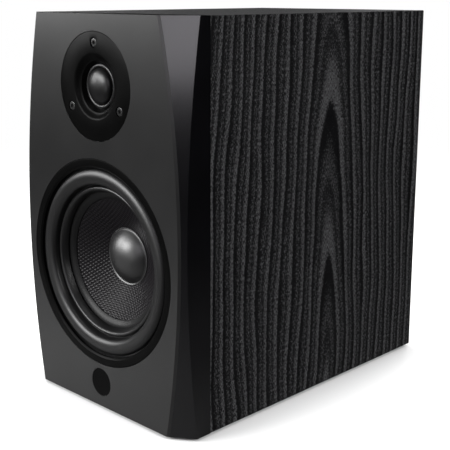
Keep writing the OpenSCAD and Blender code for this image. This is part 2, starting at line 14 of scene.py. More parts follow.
import bpy
from mathutils import Matrix, Vector
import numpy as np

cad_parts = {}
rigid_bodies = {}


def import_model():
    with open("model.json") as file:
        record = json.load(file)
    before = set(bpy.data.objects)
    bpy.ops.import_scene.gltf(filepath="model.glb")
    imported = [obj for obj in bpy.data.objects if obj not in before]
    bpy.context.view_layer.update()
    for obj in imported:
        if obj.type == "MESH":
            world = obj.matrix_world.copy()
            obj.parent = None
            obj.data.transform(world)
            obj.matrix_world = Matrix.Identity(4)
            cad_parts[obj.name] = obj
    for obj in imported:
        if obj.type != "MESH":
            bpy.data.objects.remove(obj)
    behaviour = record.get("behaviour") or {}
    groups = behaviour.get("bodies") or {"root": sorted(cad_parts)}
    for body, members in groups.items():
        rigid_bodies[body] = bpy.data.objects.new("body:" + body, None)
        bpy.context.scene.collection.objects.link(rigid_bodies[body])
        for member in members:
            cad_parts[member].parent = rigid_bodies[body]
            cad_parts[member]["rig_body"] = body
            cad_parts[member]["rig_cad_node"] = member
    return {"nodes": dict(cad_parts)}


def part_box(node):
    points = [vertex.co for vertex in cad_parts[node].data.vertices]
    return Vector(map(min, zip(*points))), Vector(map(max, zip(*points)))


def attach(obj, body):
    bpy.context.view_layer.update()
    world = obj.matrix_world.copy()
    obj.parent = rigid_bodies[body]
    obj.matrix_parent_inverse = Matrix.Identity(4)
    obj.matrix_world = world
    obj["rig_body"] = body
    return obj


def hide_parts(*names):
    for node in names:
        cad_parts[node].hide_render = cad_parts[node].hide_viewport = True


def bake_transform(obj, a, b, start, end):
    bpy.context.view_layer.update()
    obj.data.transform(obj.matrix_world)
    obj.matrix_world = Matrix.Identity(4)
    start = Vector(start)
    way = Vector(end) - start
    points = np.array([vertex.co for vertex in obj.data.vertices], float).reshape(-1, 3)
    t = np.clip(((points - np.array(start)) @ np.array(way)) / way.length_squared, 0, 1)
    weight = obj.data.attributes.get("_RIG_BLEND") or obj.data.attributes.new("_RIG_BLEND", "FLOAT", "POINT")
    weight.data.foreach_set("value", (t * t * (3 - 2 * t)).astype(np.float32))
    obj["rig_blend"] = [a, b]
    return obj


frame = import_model()
log = logging.getLogger("speaker")

Colour = tuple[float, float, float]
Station = tuple[float, float]
MM = 0.001
BACKWARDS = Vector((0, 1, 0))
UPWARDS = Vector((0, 0, 1))
WELD = 2e-6
TURNED_WELD = 5e-6
CAD_SMOOTH = math.radians(35)
TURNED_SMOOTH = math.radians(32)


class Body(Enum):
    """The CAD bodies that pieces ride on."""

    CABINET = "cabinet"
    WOOFER = "woofer_moving_part"
    TWEETER = "tweeter_moving_part"
    RED_INSERT = "red_insert"
    BLACK_INSERT = "black_insert"
    RED_CAP = "red_cap"
    BLACK_CAP = "black_cap"


class Grain(Enum):
    """Which way the veneer's grain lies: the axes across it, along it and through the panel."""

    UPRIGHT_SIDE = ("Y", "Z", "X")
    ACROSS_TOP = ("Y", "X", "Z")
    UPRIGHT_REAR = ("X", "Z", "Y")


class Pick(Enum):
    """What an edit-mode selection is made of."""

    FACES = "FACE"
    EDGES = "EDGE"


class Solid(Enum):
    """What one solid does to another."""

    CARVE = "DIFFERENCE"
    KEEP = "INTERSECT"
    FUSE = "UNION"


# ---------------------------------------------------------------- modelling


class Bench:
    """The few modelling moves that every new piece is made with."""

    @staticmethod
    def clear() -> None:
        """Leave edit mode and select nothing."""
        if bpy.context.mode != "OBJECT":
            bpy.ops.object.mode_set(mode="OBJECT")
        bpy.ops.object.select_all(action="DESELECT")

    @staticmethod
    def only(piece: bpy.types.Object) -> None:
        """Make one object the only selected one, and the active one."""
        Bench.clear()
        piece.select_set(True)
        bpy.context.view_layer.objects.active = piece

    @staticmethod
    def settled(name: str) -> bpy.types.Object:
        """Name the active object and move its place into its mesh.

        Args:
            name: The piece's name.

        Returns:
            The object, at the origin, unturned and unscaled.
        """
        piece = bpy.context.active_object
        piece.name = name
        piece.data.name = name
        Bench.only(piece)
        bpy.ops.object.transform_apply(location=True, rotation=True, scale=True)
        return piece

    @staticmethod
    def block(name: str, low: Vector, high: Vector) -> bpy.types.Object:
        """Add a box between two corners, ready to be shaped."""
        Bench.clear()
        bpy.ops.mesh.primitive_cube_add(size=1, location=(low + high) / 2)
        bpy.context.active_object.scale = high - low
        return Bench.settled(name)

    @staticmethod
    def rod(name: str, base: Vector, radius: float, length: float, sides: int) -> bpy.types.Object:
        """Add a round rod that runs from its base along +Y, ready to be shaped or cut with."""
        Bench.clear()
        bpy.ops.mesh.primitive_cylinder_add(
            vertices=sides, radius=radius, depth=length,
            location=base + Vector((0, length / 2, 0)), rotation=(-math.pi / 2, 0, 0))
        return Bench.settled(name)

    @staticmethod
    def pick(piece: bpy.types.Object, kind: Pick, test: Callable[[Vector, Vector], bool]) -> None:
        """Select faces or edges in edit mode by their place.

        Args:
            piece: The object, in edit mode.
            kind: Faces or edges.
            test: Takes a middle point and a direction (a face's normal or an edge's line).
        """
        bpy.ops.mesh.select_mode(type=kind.value)
        bpy.ops.mesh.select_all(action="DESELECT")
        bpy.ops.object.mode_set(mode="OBJECT")
        mesh = piece.data
        if kind is Pick.FACES:
            for face in mesh.polygons:
                face.select = test(face.center, face.normal)
        else:
            for edge in mesh.edges:
                a, b = (mesh.vertices[i].co for i in edge.vertices)
                edge.select = test((a + b) / 2, (b - a).normalized())
        bpy.ops.object.mode_set(mode="EDIT")

    @staticmethod
    def combine(piece: bpy.types.Object, tool: bpy.types.Object, how: Solid = Solid.CARVE) -> None:
        """Shape one solid with another, which is then thrown away.

        Args:
            piece: The solid that is shaped.
            tool: The solid it is shaped with.
            how: Carve the tool away, keep only what both share, or fuse the two.
        """
        Bench.only(piece)
        modifier = piece.modifiers.new("combine", "BOOLEAN")
        modifier.operation = how.value
        modifier.solver = "EXACT"
        modifier.object = tool
        bpy.ops.object.modifier_apply(modifier=modifier.name)
        bpy.data.objects.remove(tool, do_unlink=True)

    @staticmethod
    def ease_edges(piece: bpy.types.Object, width: float, steps: int = 3, angle: float = 35) -> None:
        """Round every sharp edge of a solid and shade it with flat faces kept flat.

        Args:
            piece: The solid.
            width: Width of the rounding.
            steps: Number of facets across it.
            angle: Edges sharper than this many degrees are rounded.
        """
        Bench.only(piece)
        bpy.ops.object.mode_set(mode="EDIT")
        bpy.ops.mesh.select_all(action="SELECT")
        bpy.ops.mesh.remove_doubles(threshold=WELD)
        bpy.ops.mesh.dissolve_limited(angle_limit=math.radians(0.05))
        bpy.ops.object.mode_set(mode="OBJECT")
        modifier = piece.modifiers.new("ease", "BEVEL")
        modifier.width = width
        modifier.segments = steps
        modifier.limit_method = "ANGLE"
        modifier.angle_limit = math.radians(angle)
        modifier.harden_normals = False
        bpy.ops.object.modifier_apply(modifier=modifier.name)
        bpy.ops.object.shade_smooth_by_angle(angle=math.radians(angle))
        weighted = piece.modifiers.new("flat", "WEIGHTED_NORMAL")
        weighted.keep_sharp = True
        bpy.ops.object.modifier_apply(modifier=weighted.name)

    @staticmethod
    def capped(piece: bpy.types.Object) -> None:
        """Close the open end of a turned piece and point its faces outwards."""
        Bench.only(piece)
        bpy.ops.object.mode_set(mode="EDIT")
        bpy.ops.mesh.select_all(action="SELECT")
        bpy.ops.mesh.fill_holes(sides=0)
        bpy.ops.mesh.normals_make_consistent(inside=False)
        bpy.ops.object.mode_set(mode="OBJECT")

    @staticmethod
    def smoothed(piece: bpy.types.Object) -> None:
        """Shade a turned piece smooth again after it was cut."""
        Bench.only(piece)
        bpy.ops.object.shade_smooth_by_angle(angle=TURNED_SMOOTH)

    @staticmethod
    def joined(name: str, pieces: Sequence[bpy.types.Object]) -> bpy.types.Object:
        """Join several objects into one with a name."""
        Bench.clear()
        for piece in pieces:
            piece.select_set(True)
        bpy.context.view_layer.objects.active = pieces[0]
        bpy.ops.object.join()
        pieces[0].name = name
        pieces[0].data.name = name
        return pieces[0]

    @staticmethod
    def copied(source: bpy.types.Object, name: str, move: Matrix) -> bpy.types.Object:
        """Copy a modelled piece, with its own mesh, to another place."""
        twin = source.copy()
        twin.data = source.data.copy()
        twin.name = name
        twin.data.name = name
        twin.data.transform(move)
        bpy.context.scene.collection.objects.link(twin)
        return twin

    @staticmethod
    def from_node(node: str, name: str) -> bpy.types.Object:
        """Make a merged copy of a CAD node's mesh, so that it can bend or be finished.

        Args:
            node: The CAD node.
            name: Name of the new piece.

        Returns:
            The copy, with no parent.
        """
        twin = frame["nodes"][node].copy()
        twin.data = twin.data.copy()
        twin.parent = None
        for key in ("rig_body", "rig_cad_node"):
            if key in twin:
                del twin[key]
        twin.name = name
        twin.data.name = name
        bpy.context.scene.collection.objects.link(twin)
        Bench.only(twin)
        bpy.ops.object.mode_set(mode="EDIT")
        bpy.ops.mesh.select_all(action="SELECT")
        bpy.ops.mesh.remove_doubles(threshold=WELD)
        bpy.ops.object.mode_set(mode="OBJECT")
        bpy.ops.object.shade_smooth_by_angle(angle=CAD_SMOOTH)
        return twin


@dataclass(frozen=True)
class Lathe:
    """Turns round pieces about one axis.

    Stations are (radius, distance along the axis), in metres.
    """

    origin: Vector
    axis: Vector
    sides: int = 128

    def turned(self, name: str, outline: Sequence[Station], closed: bool = True) -> bpy.types.Object:
        """Turn an outline into a piece, one extruded ring for each station.

        Args:
            name: The piece's name.
            outline: Stations in order; the first one has a radius.
            closed: True joins the last station back to the first one.

        Returns:
            The turned object, smooth shaded.
        """
        stations = list(outline) + ([outline[0]] if closed else [])
        radius, along = stations[0]
        turn = UPWARDS.rotation_difference(self.axis).to_euler()
        Bench.clear()
        bpy.ops.mesh.primitive_circle_add(
            vertices=self.sides, radius=radius, location=self.origin + self.axis * along,
            rotation=turn)
        piece = Bench.settled(name)
        bpy.ops.object.mode_set(mode="EDIT")
        bpy.ops.mesh.select_mode(type="EDGE")
        bpy.ops.mesh.select_all(action="SELECT")
        for next_radius, next_along in stations[1:]:
            bpy.ops.mesh.extrude_region_move(
                TRANSFORM_OT_translate={"value": self.axis * (next_along - along)})
            ratio = next_radius / radius
            scale = [1 + (ratio - 1) * (1 - abs(part)) for part in self.axis]
            centre = self.origin + self.axis * next_along
            bpy.ops.transform.resize(value=scale, center_override=centre)
            radius, along = next_radius, next_along
            if radius == 0:
                break
        bpy.ops.mesh.select_all(action="SELECT")
        bpy.ops.mesh.remove_doubles(threshold=TURNED_WELD)
        bpy.ops.mesh.normals_make_consistent(inside=False)
        bpy.ops.object.mode_set(mode="OBJECT")
        bpy.ops.object.shade_smooth_by_angle(angle=TURNED_SMOOTH)
        return piece

    def around(self, angle: float) -> Matrix:
        """A turn about the lathe's axis, in degrees."""
        there = Matrix.Translation(self.origin)
        return there @ Matrix.Rotation(math.radians(angle), 4, self.axis) @ there.inverted()


def face_centre(node: str, at_back: bool = False) -> Vector:
    """The middle of a CAD node's front, or of its back."""
    low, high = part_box(node)
    return Vector(((low.x + high.x) / 2, high.y if at_back else low.y, (low.z + high.z) / 2))


def lathe_for(node: str, sides: int, at_back: bool = False) -> Lathe:
    """A lathe along +Y through the middle of a CAD node.

    Args:
        node: The CAD node.
        sides: Number of sides of what is turned.
        at_back: True counts distances from the node's back, not its front.

    Returns:
        The lathe.
    """
    return Lathe(face_centre(node, at_back), BACKWARDS, sides)


def radius_of(node: str) -> float:
    """Half the width of a round CAD node."""
    low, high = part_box(node)
    return (high.x - low.x) / 2


def eased(outline: Sequence[Station], radius: float, steps: int = 4,
          closed: bool = True) -> list[Station]:
    """Round the corners of an outline.

    Args:
        outline: Stations in order.
        radius: Radius of each rounding, less where a side is short.
        steps: Points on each rounding.
        closed: True if the outline comes back to its start.

    Returns:
        The outline with more points.
    """
    count = len(outline)
    straight = math.radians(155)
    longest_share = 0.45
    result: list[Station] = []
    for i, here in enumerate(outline):
        if not closed and i in (0, count - 1):
            result.append(here)
            continue
        point = Vector(here)
        before = Vector(outline[i - 1]) - point
        after = Vector(outline[(i + 1) % count]) - point
        corner = before.angle(after, math.pi)
        if corner > straight:
            result.append(here)
            continue
        reach = min(radius / math.tan(corner / 2), before.length * longest_share,
                    after.length * longest_share)
        start = point + before.normalized() * reach
        end = point + after.normalized() * reach
        for k in range(steps + 1):
            t = k / steps
            on_curve = start.lerp(point, t).lerp(point.lerp(end, t), t)
            result.append((on_curve.x, on_curve.y))
    return result


def arc(centre: Station, reach: Station, begin: float, end: float, steps: int) -> list[Station]:
    """Stations of an elliptic arc that bulges towards the front.

    Args:
        centre: Radius and depth of the ellipse's middle.
        reach: Its half sizes in radius and in depth.
        begin: First angle in degrees, from the outward side.
        end: Last angle in degrees.
        steps: Number of sides.

    Returns:
        The stations from the first angle to the last.
    """
    angles = [math.radians(begin + (end - begin) * i / steps) for i in range(steps + 1)]
    return [(centre[0] + reach[0] * math.cos(a), centre[1] - reach[1] * math.sin(a))
            for a in angles]


def sheet_outline(line: Sequence[Station], thickness: float) -> list[Station]:
    """Close a front line into the outline of a sheet of even thickness behind it.

    Args:
        line: The front line, running inwards.
        thickness: The sheet's thickness.

    Returns:
        The front line followed by the back line.
    """
    back: list[Station] = []
    for i, here in enumerate(line):
        run = Vector(line[min(i + 1, len(line) - 1)]) - Vector(line[max(i - 1, 0)])
        run.normalize()
        back.append((max(here[0] + run.y * thickness, 0.0), here[1] - run.x * thickness))
    return list(line) + back[::-1]


def dome_line(rim: Station, height: float, steps: int) -> list[Station]:
    """Stations of a dome from its rim to its middle."""
    sphere = (rim[0] ** 2 + height ** 2) / (2 * height)
    half = math.asin(rim[0] / sphere)
    top = rim[1] - height
    angles = [half * (steps - i) / steps for i in range(steps + 1)]
    return [(sphere * math.sin(a), top + sphere * (1 - math.cos(a))) for a in angles]


def scaled(outline: Sequence[Station]) -> list[Station]:
    """Stations written in millimetres, in metres."""
    return [(r * MM, d * MM) for r, d in outline]


# ---------------------------------------------------------------- node graphs


class Graph:
    """A node tree being wired, with one short call for each kind of node."""

    def __init__(self, tree: bpy.types.NodeTree) -> None:
        """Hold the tree that the nodes go into."""
        self.tree = tree

    def node(self, kind: str, **settings: object) -> bpy.types.Node:
        """Add a node and set its plain properties."""
        made = self.tree.nodes.new(kind)
        for key, value in settings.items():
            setattr(made, key, value)
        return made

    def feed(self, socket: bpy.types.NodeSocket, value: object) -> None:
        """Link a socket to another socket, or set its own value."""
        if isinstance(value, bpy.types.NodeSocket):
            self.tree.links.new(value, socket)
        elif isinstance(value, tuple) and len(value) == 3 and socket.type == "RGBA":
            socket.default_value = (*value, 1.0)
        else:
            socket.default_value = value

    def math(self, operation: str, a: object, b: object = 0.0,
             c: object = 0.0) -> bpy.types.NodeSocket:
        """One arithmetic step."""
        made = self.node("ShaderNodeMath", operation=operation)
        for socket, value in zip(made.inputs, (a, b, c)):
            self.feed(socket, value)
        return made.outputs[0]

    def plus(self, a: object, b: object) -> bpy.types.NodeSocket:
        """The sum of two values."""
        return self.math("ADD", a, b)

    def minus(self, a: object, b: object) -> bpy.types.NodeSocket:
        """The difference of two values."""
        return self.math("SUBTRACT", a, b)

    def times(self, a: object, b: object) -> bpy.types.NodeSocket:
        """The product of two values."""
        return self.math("MULTIPLY", a, b)

    def over(self, a: object, b: object) -> bpy.types.NodeSocket:
        """The quotient of two values."""
        return self.math("DIVIDE", a, b)

    def hypotenuse(self, a: object, b: object) -> bpy.types.NodeSocket:
        """The distance that two sides at a right angle span."""
        return self.math("SQRT", self.plus(self.times(a, a), self.times(b, b)))

    def about_zero(self, value: object, amount: object) -> bpy.types.NodeSocket:
        """A noise value moved to lie about zero and scaled."""
        return self.times(self.minus(value, 0.5), amount)

    def spread(self, value: object, low: object, high: object, to_low: object = 0.0,
               to_high: object = 1.0, smooth: bool = True) -> bpy.types.NodeSocket:
        """Map one range of a value onto another, clamped at both ends."""
        kind = "SMOOTHSTEP" if smooth else "LINEAR"
        made = self.node("ShaderNodeMapRange", interpolation_type=kind)
        for socket, given in zip(made.inputs, (value, low, high, to_low, to_high)):
            self.feed(socket, given)
        return made.outputs[0]

    def noise(self, vector: object, scale: object, detail: float = 2.0,
              roughness: float = 0.5) -> bpy.types.NodeSocket:
        """A noise value about one half."""
        made = self.node("ShaderNodeTexNoise")
        self.feed(made.inputs["Vector"], vector)
        self.feed(made.inputs["Scale"], scale)
        self.feed(made.inputs["Detail"], detail)
        self.feed(made.inputs["Roughness"], roughness)
        return made.outputs["Fac"]

    def mix(self, factor: object, a: object, b: object) -> bpy.types.NodeSocket:
        """Mix two colours."""
        made = self.node("ShaderNodeMix", data_type="RGBA")
        self.feed(made.inputs["Factor"], factor)
        self.feed(made.inputs[6], a)
        self.feed(made.inputs[7], b)
        return made.outputs[2]

    def split(self, vector: object) -> list[bpy.types.NodeSocket]:
        """The three parts of a vector."""
        made = self.node("ShaderNodeSeparateXYZ")
        self.feed(made.inputs[0], vector)
        return list(made.outputs)

    def gather(self, x: object, y: object, z: object = 0.0) -> bpy.types.NodeSocket:
        """A vector of three parts."""
        made = self.node("ShaderNodeCombineXYZ")
        for socket, value in zip(made.inputs, (x, y, z)):
            self.feed(socket, value)
        return made.outputs[0]


class Effects:
    """Shader node groups that more than one finish uses, each built once."""

    made: dict[str, bpy.types.NodeTree] = {}

    @classmethod
    def tree(cls, name: str, inputs: Sequence[tuple[str, str, object]],
             outputs: Sequence[tuple[str, str]],
             wire: Callable[[Graph, dict], dict]) -> bpy.types.NodeTree:
        """Build a group with named sockets, or give the one already built.

        Args:
            name: The group's name.
            inputs: Socket name, socket type and first value, for each input.
            outputs: Socket name and socket type, for each output.
            wire: Adds the nodes; takes the input sockets by name and gives the output ones.

        Returns:
            The node group.
        """
        if name in cls.made:
            return cls.made[name]
        group = bpy.data.node_groups.new(name, "ShaderNodeTree")
        for label, kind, value in inputs:
            socket = group.interface.new_socket(label, in_out="INPUT", socket_type=kind)
            if value is not None:
                socket.default_value = (*value, 1.0) if kind == "NodeSocketColor" else value
        for label, kind in outputs:
            group.interface.new_socket(label, in_out="OUTPUT", socket_type=kind)
        graph = Graph(group)
        entry = graph.node("NodeGroupInput")
        leave = graph.node("NodeGroupOutput")
        results = wire(graph, {s.name: s for s in entry.outputs if s.name})
        for label, result in results.items():
            graph.feed(leave.inputs[label], result)
        cls.made[name] = group
        return group

    @classmethod
    def moulded_skin(cls) -> bpy.types.NodeTree:
        """Cloudy colour and gloss with a fine pebble, as on moulded and painted surfaces."""

        def wire(graph: Graph, given: dict) -> dict:
            """Wire the group."""
            cloud = graph.noise(given["Vector"], given["Cloud Scale"], 3.0, 0.6)
            pebble = graph.noise(given["Vector"], given["Pebble Scale"], 2.0, 0.5)
            colour = graph.mix(graph.spread(cloud, 0.35, 0.65), given["Base"], given["Tint"])
            lean = graph.about_zero(cloud, given["Gloss Spread"])
            speck = graph.about_zero(pebble, given["Gloss Spread"])
            rough = graph.plus(given["Roughness"], graph.plus(lean, speck))
            return {"Color": colour, "Roughness": rough, "Height": pebble}

        return cls.tree("moulded_skin", [
            ("Vector", "NodeSocketVector", None), ("Base", "NodeSocketColor", (0.1, 0.1, 0.1)),
            ("Tint", "NodeSocketColor", (0.1, 0.1, 0.1)), ("Roughness", "NodeSocketFloat", 0.5),
            ("Gloss Spread", "NodeSocketFloat", 0.1), ("Cloud Scale", "NodeSocketFloat", 30.0),
            ("Pebble Scale", "NodeSocketFloat", 1500.0)],
            [("Color", "NodeSocketColor"), ("Roughness", "NodeSocketFloat"),
             ("Height", "NodeSocketFloat")], wire)

    @classmethod
    def ash_grain(cls) -> bpy.types.NodeTree:
        """Growth rings cut into arches, with open pores drawn out along the grain."""

        def wire(graph: Graph, given: dict) -> dict:
            """Wire the group."""
            across, along, _ = graph.split(given["Vector"])
            sway_reach, shiver_reach = 0.034, 0.0035
            pore_level, ring_pull = 0.67, -0.20

            def drawn_out(side: object, across_scale: float, along_scale: float,
                          layer: float = 0.0) -> bpy.types.NodeSocket:
                """Coordinates of a pattern that is drawn out along the grain."""
                return graph.gather(graph.times(side, across_scale), graph.times(along, along_scale),
                                    layer)

            sway = graph.about_zero(graph.noise(drawn_out(across, 9.0, 4.0), 1.0), sway_reach)
            shiver = graph.about_zero(graph.noise(drawn_out(across, 60.0, 14.0), 1.0), shiver_reach)
            bend = graph.plus(sway, shiver)
            off = graph.plus(graph.minus(across, given["Centre"]), bend)
            rise = graph.math("MULTIPLY_ADD", along, given["Slope"], given["Start"])
            reach = graph.hypotenuse(off, rise)
            wide = graph.math("FRACT", graph.over(reach, given["Ring Pitch"]))
            late = graph.times(graph.spread(wide, 0.0, 0.12), graph.spread(wide, 0.95, 0.3))
            fine = graph.math("FRACT", graph.over(reach, graph.times(given["Ring Pitch"], 0.5)))
            soft = graph.times(graph.spread(fine, 0.0, 0.25), graph.spread(fine, 1.0, 0.45))
            rings = graph.math("MULTIPLY_ADD", late, 0.5, graph.times(soft, 0.5))
            bent = graph.plus(across, bend)
            pores = graph.noise(drawn_out(bent, 1700.0, 400.0), 1.0, 2.0, 0.6)
            hairs = graph.noise(drawn_out(bent, 3000.0, 260.0, 3.0), 1.0, 1.0)
            level = graph.math("MULTIPLY_ADD", rings, ring_pull, pore_level)
            dashes = graph.spread(pores, level, graph.plus(level, 0.08))
            fleck = graph.spread(hairs, graph.plus(level, 0.02), graph.plus(level, 0.12))
            streak = graph.math("MINIMUM", 1.0, graph.math("MULTIPLY_ADD", fleck, 0.45, dashes))
            return {"Streak": streak, "Rings": rings,
                    "Height": graph.minus(1.0, graph.times(streak, 0.8))}

        return cls.tree("ash_grain", [
            ("Vector", "NodeSocketVector", None), ("Centre", "NodeSocketFloat", 0.0),
            ("Slope", "NodeSocketFloat", 0.095), ("Start", "NodeSocketFloat", 0.002),
            ("Ring Pitch", "NodeSocketFloat", 0.0128)],
            [("Streak", "NodeSocketFloat"), ("Rings", "NodeSocketFloat"),
             ("Height", "NodeSocketFloat")], wire)

    @classmethod
    def plain_weave(cls) -> bpy.types.NodeTree:
        """Strands that pass over and under each other on the slant."""

        def wire(graph: Graph, given: dict) -> dict:
            """Wire the group."""
            x, _, z = graph.split(given["Vector"])
            turn = graph.over(math.pi, given["Pitch"])
            wide = graph.times(x, given["Squash"])
            a = graph.math("SINE", graph.times(graph.plus(wide, z), turn))
            b = graph.math("SINE", graph.times(graph.minus(wide, z), turn))
            crossing = graph.times(graph.math("ABSOLUTE", a), graph.math("ABSOLUTE", b))
            return {"Strand": graph.spread(crossing, 0.03, 0.6), "Height": crossing}

        return cls.tree("plain_weave", [
            ("Vector", "NodeSocketVector", None), ("Pitch", "NodeSocketFloat", 0.002),
            ("Squash", "NodeSocketFloat", 1.0)],
            [("Strand", "NodeSocketFloat"), ("Height", "NodeSocketFloat")], wire)

    @classmethod
    def turned_rings(cls) -> bpy.types.NodeTree:
        """Fine rings about an axis along Y, as a lathe tool or a wound wire leaves."""

        def wire(graph: Graph, given: dict) -> dict:
            """Wire the group."""
            x, y, z = graph.split(given["Vector"])
            radius = graph.hypotenuse(x, z)
            place = graph.over(graph.plus(radius, y), given["Pitch"])
            wave = graph.math("SINE", graph.times(place, math.tau))
            return {"Ring": graph.spread(wave, -1.0, 1.0, smooth=False)}

        return cls.tree("turned_rings", [
            ("Vector", "NodeSocketVector", None), ("Pitch", "NodeSocketFloat", 0.0005)],
            [("Ring", "NodeSocketFloat")], wire)


# ---------------------------------------------------------------- finishes


@dataclass(frozen=True)
class Finish:
    """A moulded, painted or rubbed surface, and the ground for the other finishes."""

    slot: str
    base: Colour
    tint: Colour
    roughness: float
    gloss_spread: float = 0.08
    metallic: float = 0.0
    cloud_scale: float = 28.0
    pebble_scale: float = 1600.0
    pebble_depth: float = 0.00002
    specular: float = 0.5
    coat: float = 0.0
    coat_roughness: float = 0.03
    sheen: float = 0.0

    def material(self) -> bpy.types.Material:
        """The finish as a material, made the first time it is asked for."""
        name = self.name()
        found = bpy.data.materials.get(name)
        if found:
            return found
        made = bpy.data.materials.new(name)
        made.use_nodes = True
        made.node_tree.nodes.clear()
        graph = Graph(made.node_tree)
        shader = graph.node("ShaderNodeBsdfPrincipled")
        end = graph.node("ShaderNodeOutputMaterial")
        graph.feed(end.inputs["Surface"], shader.outputs[0])
        for label, value in (("Metallic", self.metallic), ("Specular IOR Level", self.specular),
                             ("Coat Weight", self.coat), ("Coat Roughness", self.coat_roughness),
                             ("Sheen Weight", self.sheen)):
            shader.inputs[label].default_value = value
        place = graph.node("ShaderNodeTexCoord").outputs["Object"]
        skin = graph.node("ShaderNodeGroup", node_tree=Effects.moulded_skin())
        graph.feed(skin.inputs["Vector"], place)
        for label, value in (("Base", self.base), ("Tint", self.tint), ("Roughness", self.roughness),
                             ("Gloss Spread", self.gloss_spread), ("Cloud Scale", self.cloud_scale),
                             ("Pebble Scale", self.pebble_scale)):
            graph.feed(skin.inputs[label], value)
        colour, rough, height, depth = self.pattern(graph, place, skin)
        graph.feed(shader.inputs["Base Color"], colour)
        graph.feed(shader.inputs["Roughness"], rough)
        bump = graph.node("ShaderNodeBump")
        bump.inputs["Strength"].default_value = 1.0
        bump.inputs["Distance"].default_value = depth
        graph.feed(bump.inputs["Height"], height)
        graph.feed(shader.inputs["Normal"], bump.outputs[0])
        return made

    def name(self) -> str:
        """The material's name."""
        return f"{self.slot}_look"

    def pattern(self, graph: Graph, place: bpy.types.NodeSocket,
                skin: bpy.types.Node) -> tuple[object, object, object, float]:
        """Choose what drives colour, roughness and bump.

        Args:
            graph: The material's graph.
            place: Object coordinates.
            skin: The moulded skin group, already fed.

        Returns:
            Colour, roughness, height and the height's depth in metres.
        """
        colour, rough, height = (skin.outputs[label] for label in ("Color", "Roughness", "Height"))
        return colour, rough, height, self.pebble_depth


@dataclass(frozen=True)
class BlackAsh(Finish):
    """Black stained ash veneer with paler pores."""

    grain: Grain = Grain.UPRIGHT_SIDE
    pore: Colour = (0.098, 0.098, 0.101)
    centre: float = 0.0
    face: float = 0.102
    pore_depth: float = 0.00005
    late_share: float = 1.4
    pore_roughness: float = 0.16

    def name(self) -> str:
        """The material's name."""
        return f"{self.slot}_{self.grain.name.lower()}"

    def pattern(self, graph: Graph, place: bpy.types.NodeSocket,
                skin: bpy.types.Node) -> tuple[object, object, object, float]:
        """Lay the grain over the skin."""
        parts = dict(zip("XYZ", graph.split(place)))
        across, along, through = self.grain.value
        depth = graph.minus(graph.math("ABSOLUTE", parts[through]), self.face)
        grain = graph.node("ShaderNodeGroup", node_tree=Effects.ash_grain())
        on_veneer = graph.gather(graph.plus(parts[across], depth), parts[along])
        graph.feed(grain.inputs["Vector"], on_veneer)
        grain.inputs["Centre"].default_value = self.centre
        ground = graph.mix(grain.outputs["Rings"], skin.outputs["Color"],
                           tuple(part * self.late_share for part in self.base))
        colour = graph.mix(grain.outputs["Streak"], ground, self.pore)
        rough = graph.math("MULTIPLY_ADD", grain.outputs["Streak"], self.pore_roughness,
                           skin.outputs["Roughness"])
        return colour, rough, grain.outputs["Height"], self.pore_depth


@dataclass(frozen=True)
class Woven(Finish):
    """Woven fibre or cloth."""

    strand: Colour = (0.05, 0.05, 0.055)
    pitch: float = 0.0022
    strand_depth: float = 0.00012
    squash: float = 1.0
    strand_roughness: float = -0.12

    def pattern(self, graph: Graph, place: bpy.types.NodeSocket,
                skin: bpy.types.Node) -> tuple[object, object, object, float]:
        """Lay the strands over the skin."""
        weave = graph.node("ShaderNodeGroup", node_tree=Effects.plain_weave())
        graph.feed(weave.inputs["Vector"], place)
        weave.inputs["Pitch"].default_value = self.pitch
        weave.inputs["Squash"].default_value = self.squash
        colour = graph.mix(weave.outputs["Strand"], skin.outputs["Color"], self.strand)
        rough = graph.math("MULTIPLY_ADD", weave.outputs["Strand"], self.strand_roughness,
                           skin.outputs["Roughness"])
        return colour, rough, weave.outputs["Height"], self.strand_depth


@dataclass(frozen=True)
class Turned(Finish):
    """Turned metal or wound wire, with rings about the axis of its piece."""

    ring: Colour = (0.5, 0.5, 0.5)
    pitch: float = 0.0005
    ring_depth: float = 0.00004

    def pattern(self, graph: Graph, place: bpy.types.NodeSocket,
                skin: bpy.types.Node) -> tuple[object, object, object, float]:
        """Lay the rings over the skin."""
        rings = graph.node("ShaderNodeGroup", node_tree=Effects.turned_rings())
        graph.feed(rings.inputs["Vector"], place)
        rings.inputs["Pitch"].default_value = self.pitch
        colour = graph.mix(rings.outputs["Ring"], skin.outputs["Color"], self.ring)
        return colour, skin.outputs["Roughness"], rings.outputs["Ring"], self.ring_depth


@dataclass(frozen=True)
class OpenFoam(Finish):
    """Open cell foam, pitted all over."""

    cell_scale: float = 420.0
    cell_depth: float = 0.0008
    painted_pit_shade: float = 0.35

    def pattern(self, graph: Graph, place: bpy.types.NodeSocket,
                skin: bpy.types.Node) -> tuple[object, object, object, float]:
        """Pit the skin with cells, each pit drawn darker as painted shade."""
        cells = graph.node("ShaderNodeTexVoronoi", feature="F1")
        graph.feed(cells.inputs["Vector"], place)
        cells.inputs["Scale"].default_value = self.cell_scale
        pit = graph.spread(cells.outputs["Distance"], 0.1, 0.7)
        # Painted shade: the base colour is darkened in the pits of the cells.
        painted_pit_colour = tuple(part * self.painted_pit_shade for part in self.base)
        colour = graph.mix(pit, painted_pit_colour, skin.outputs["Color"])
        return colour, skin.outputs["Roughness"], pit, self.cell_depth


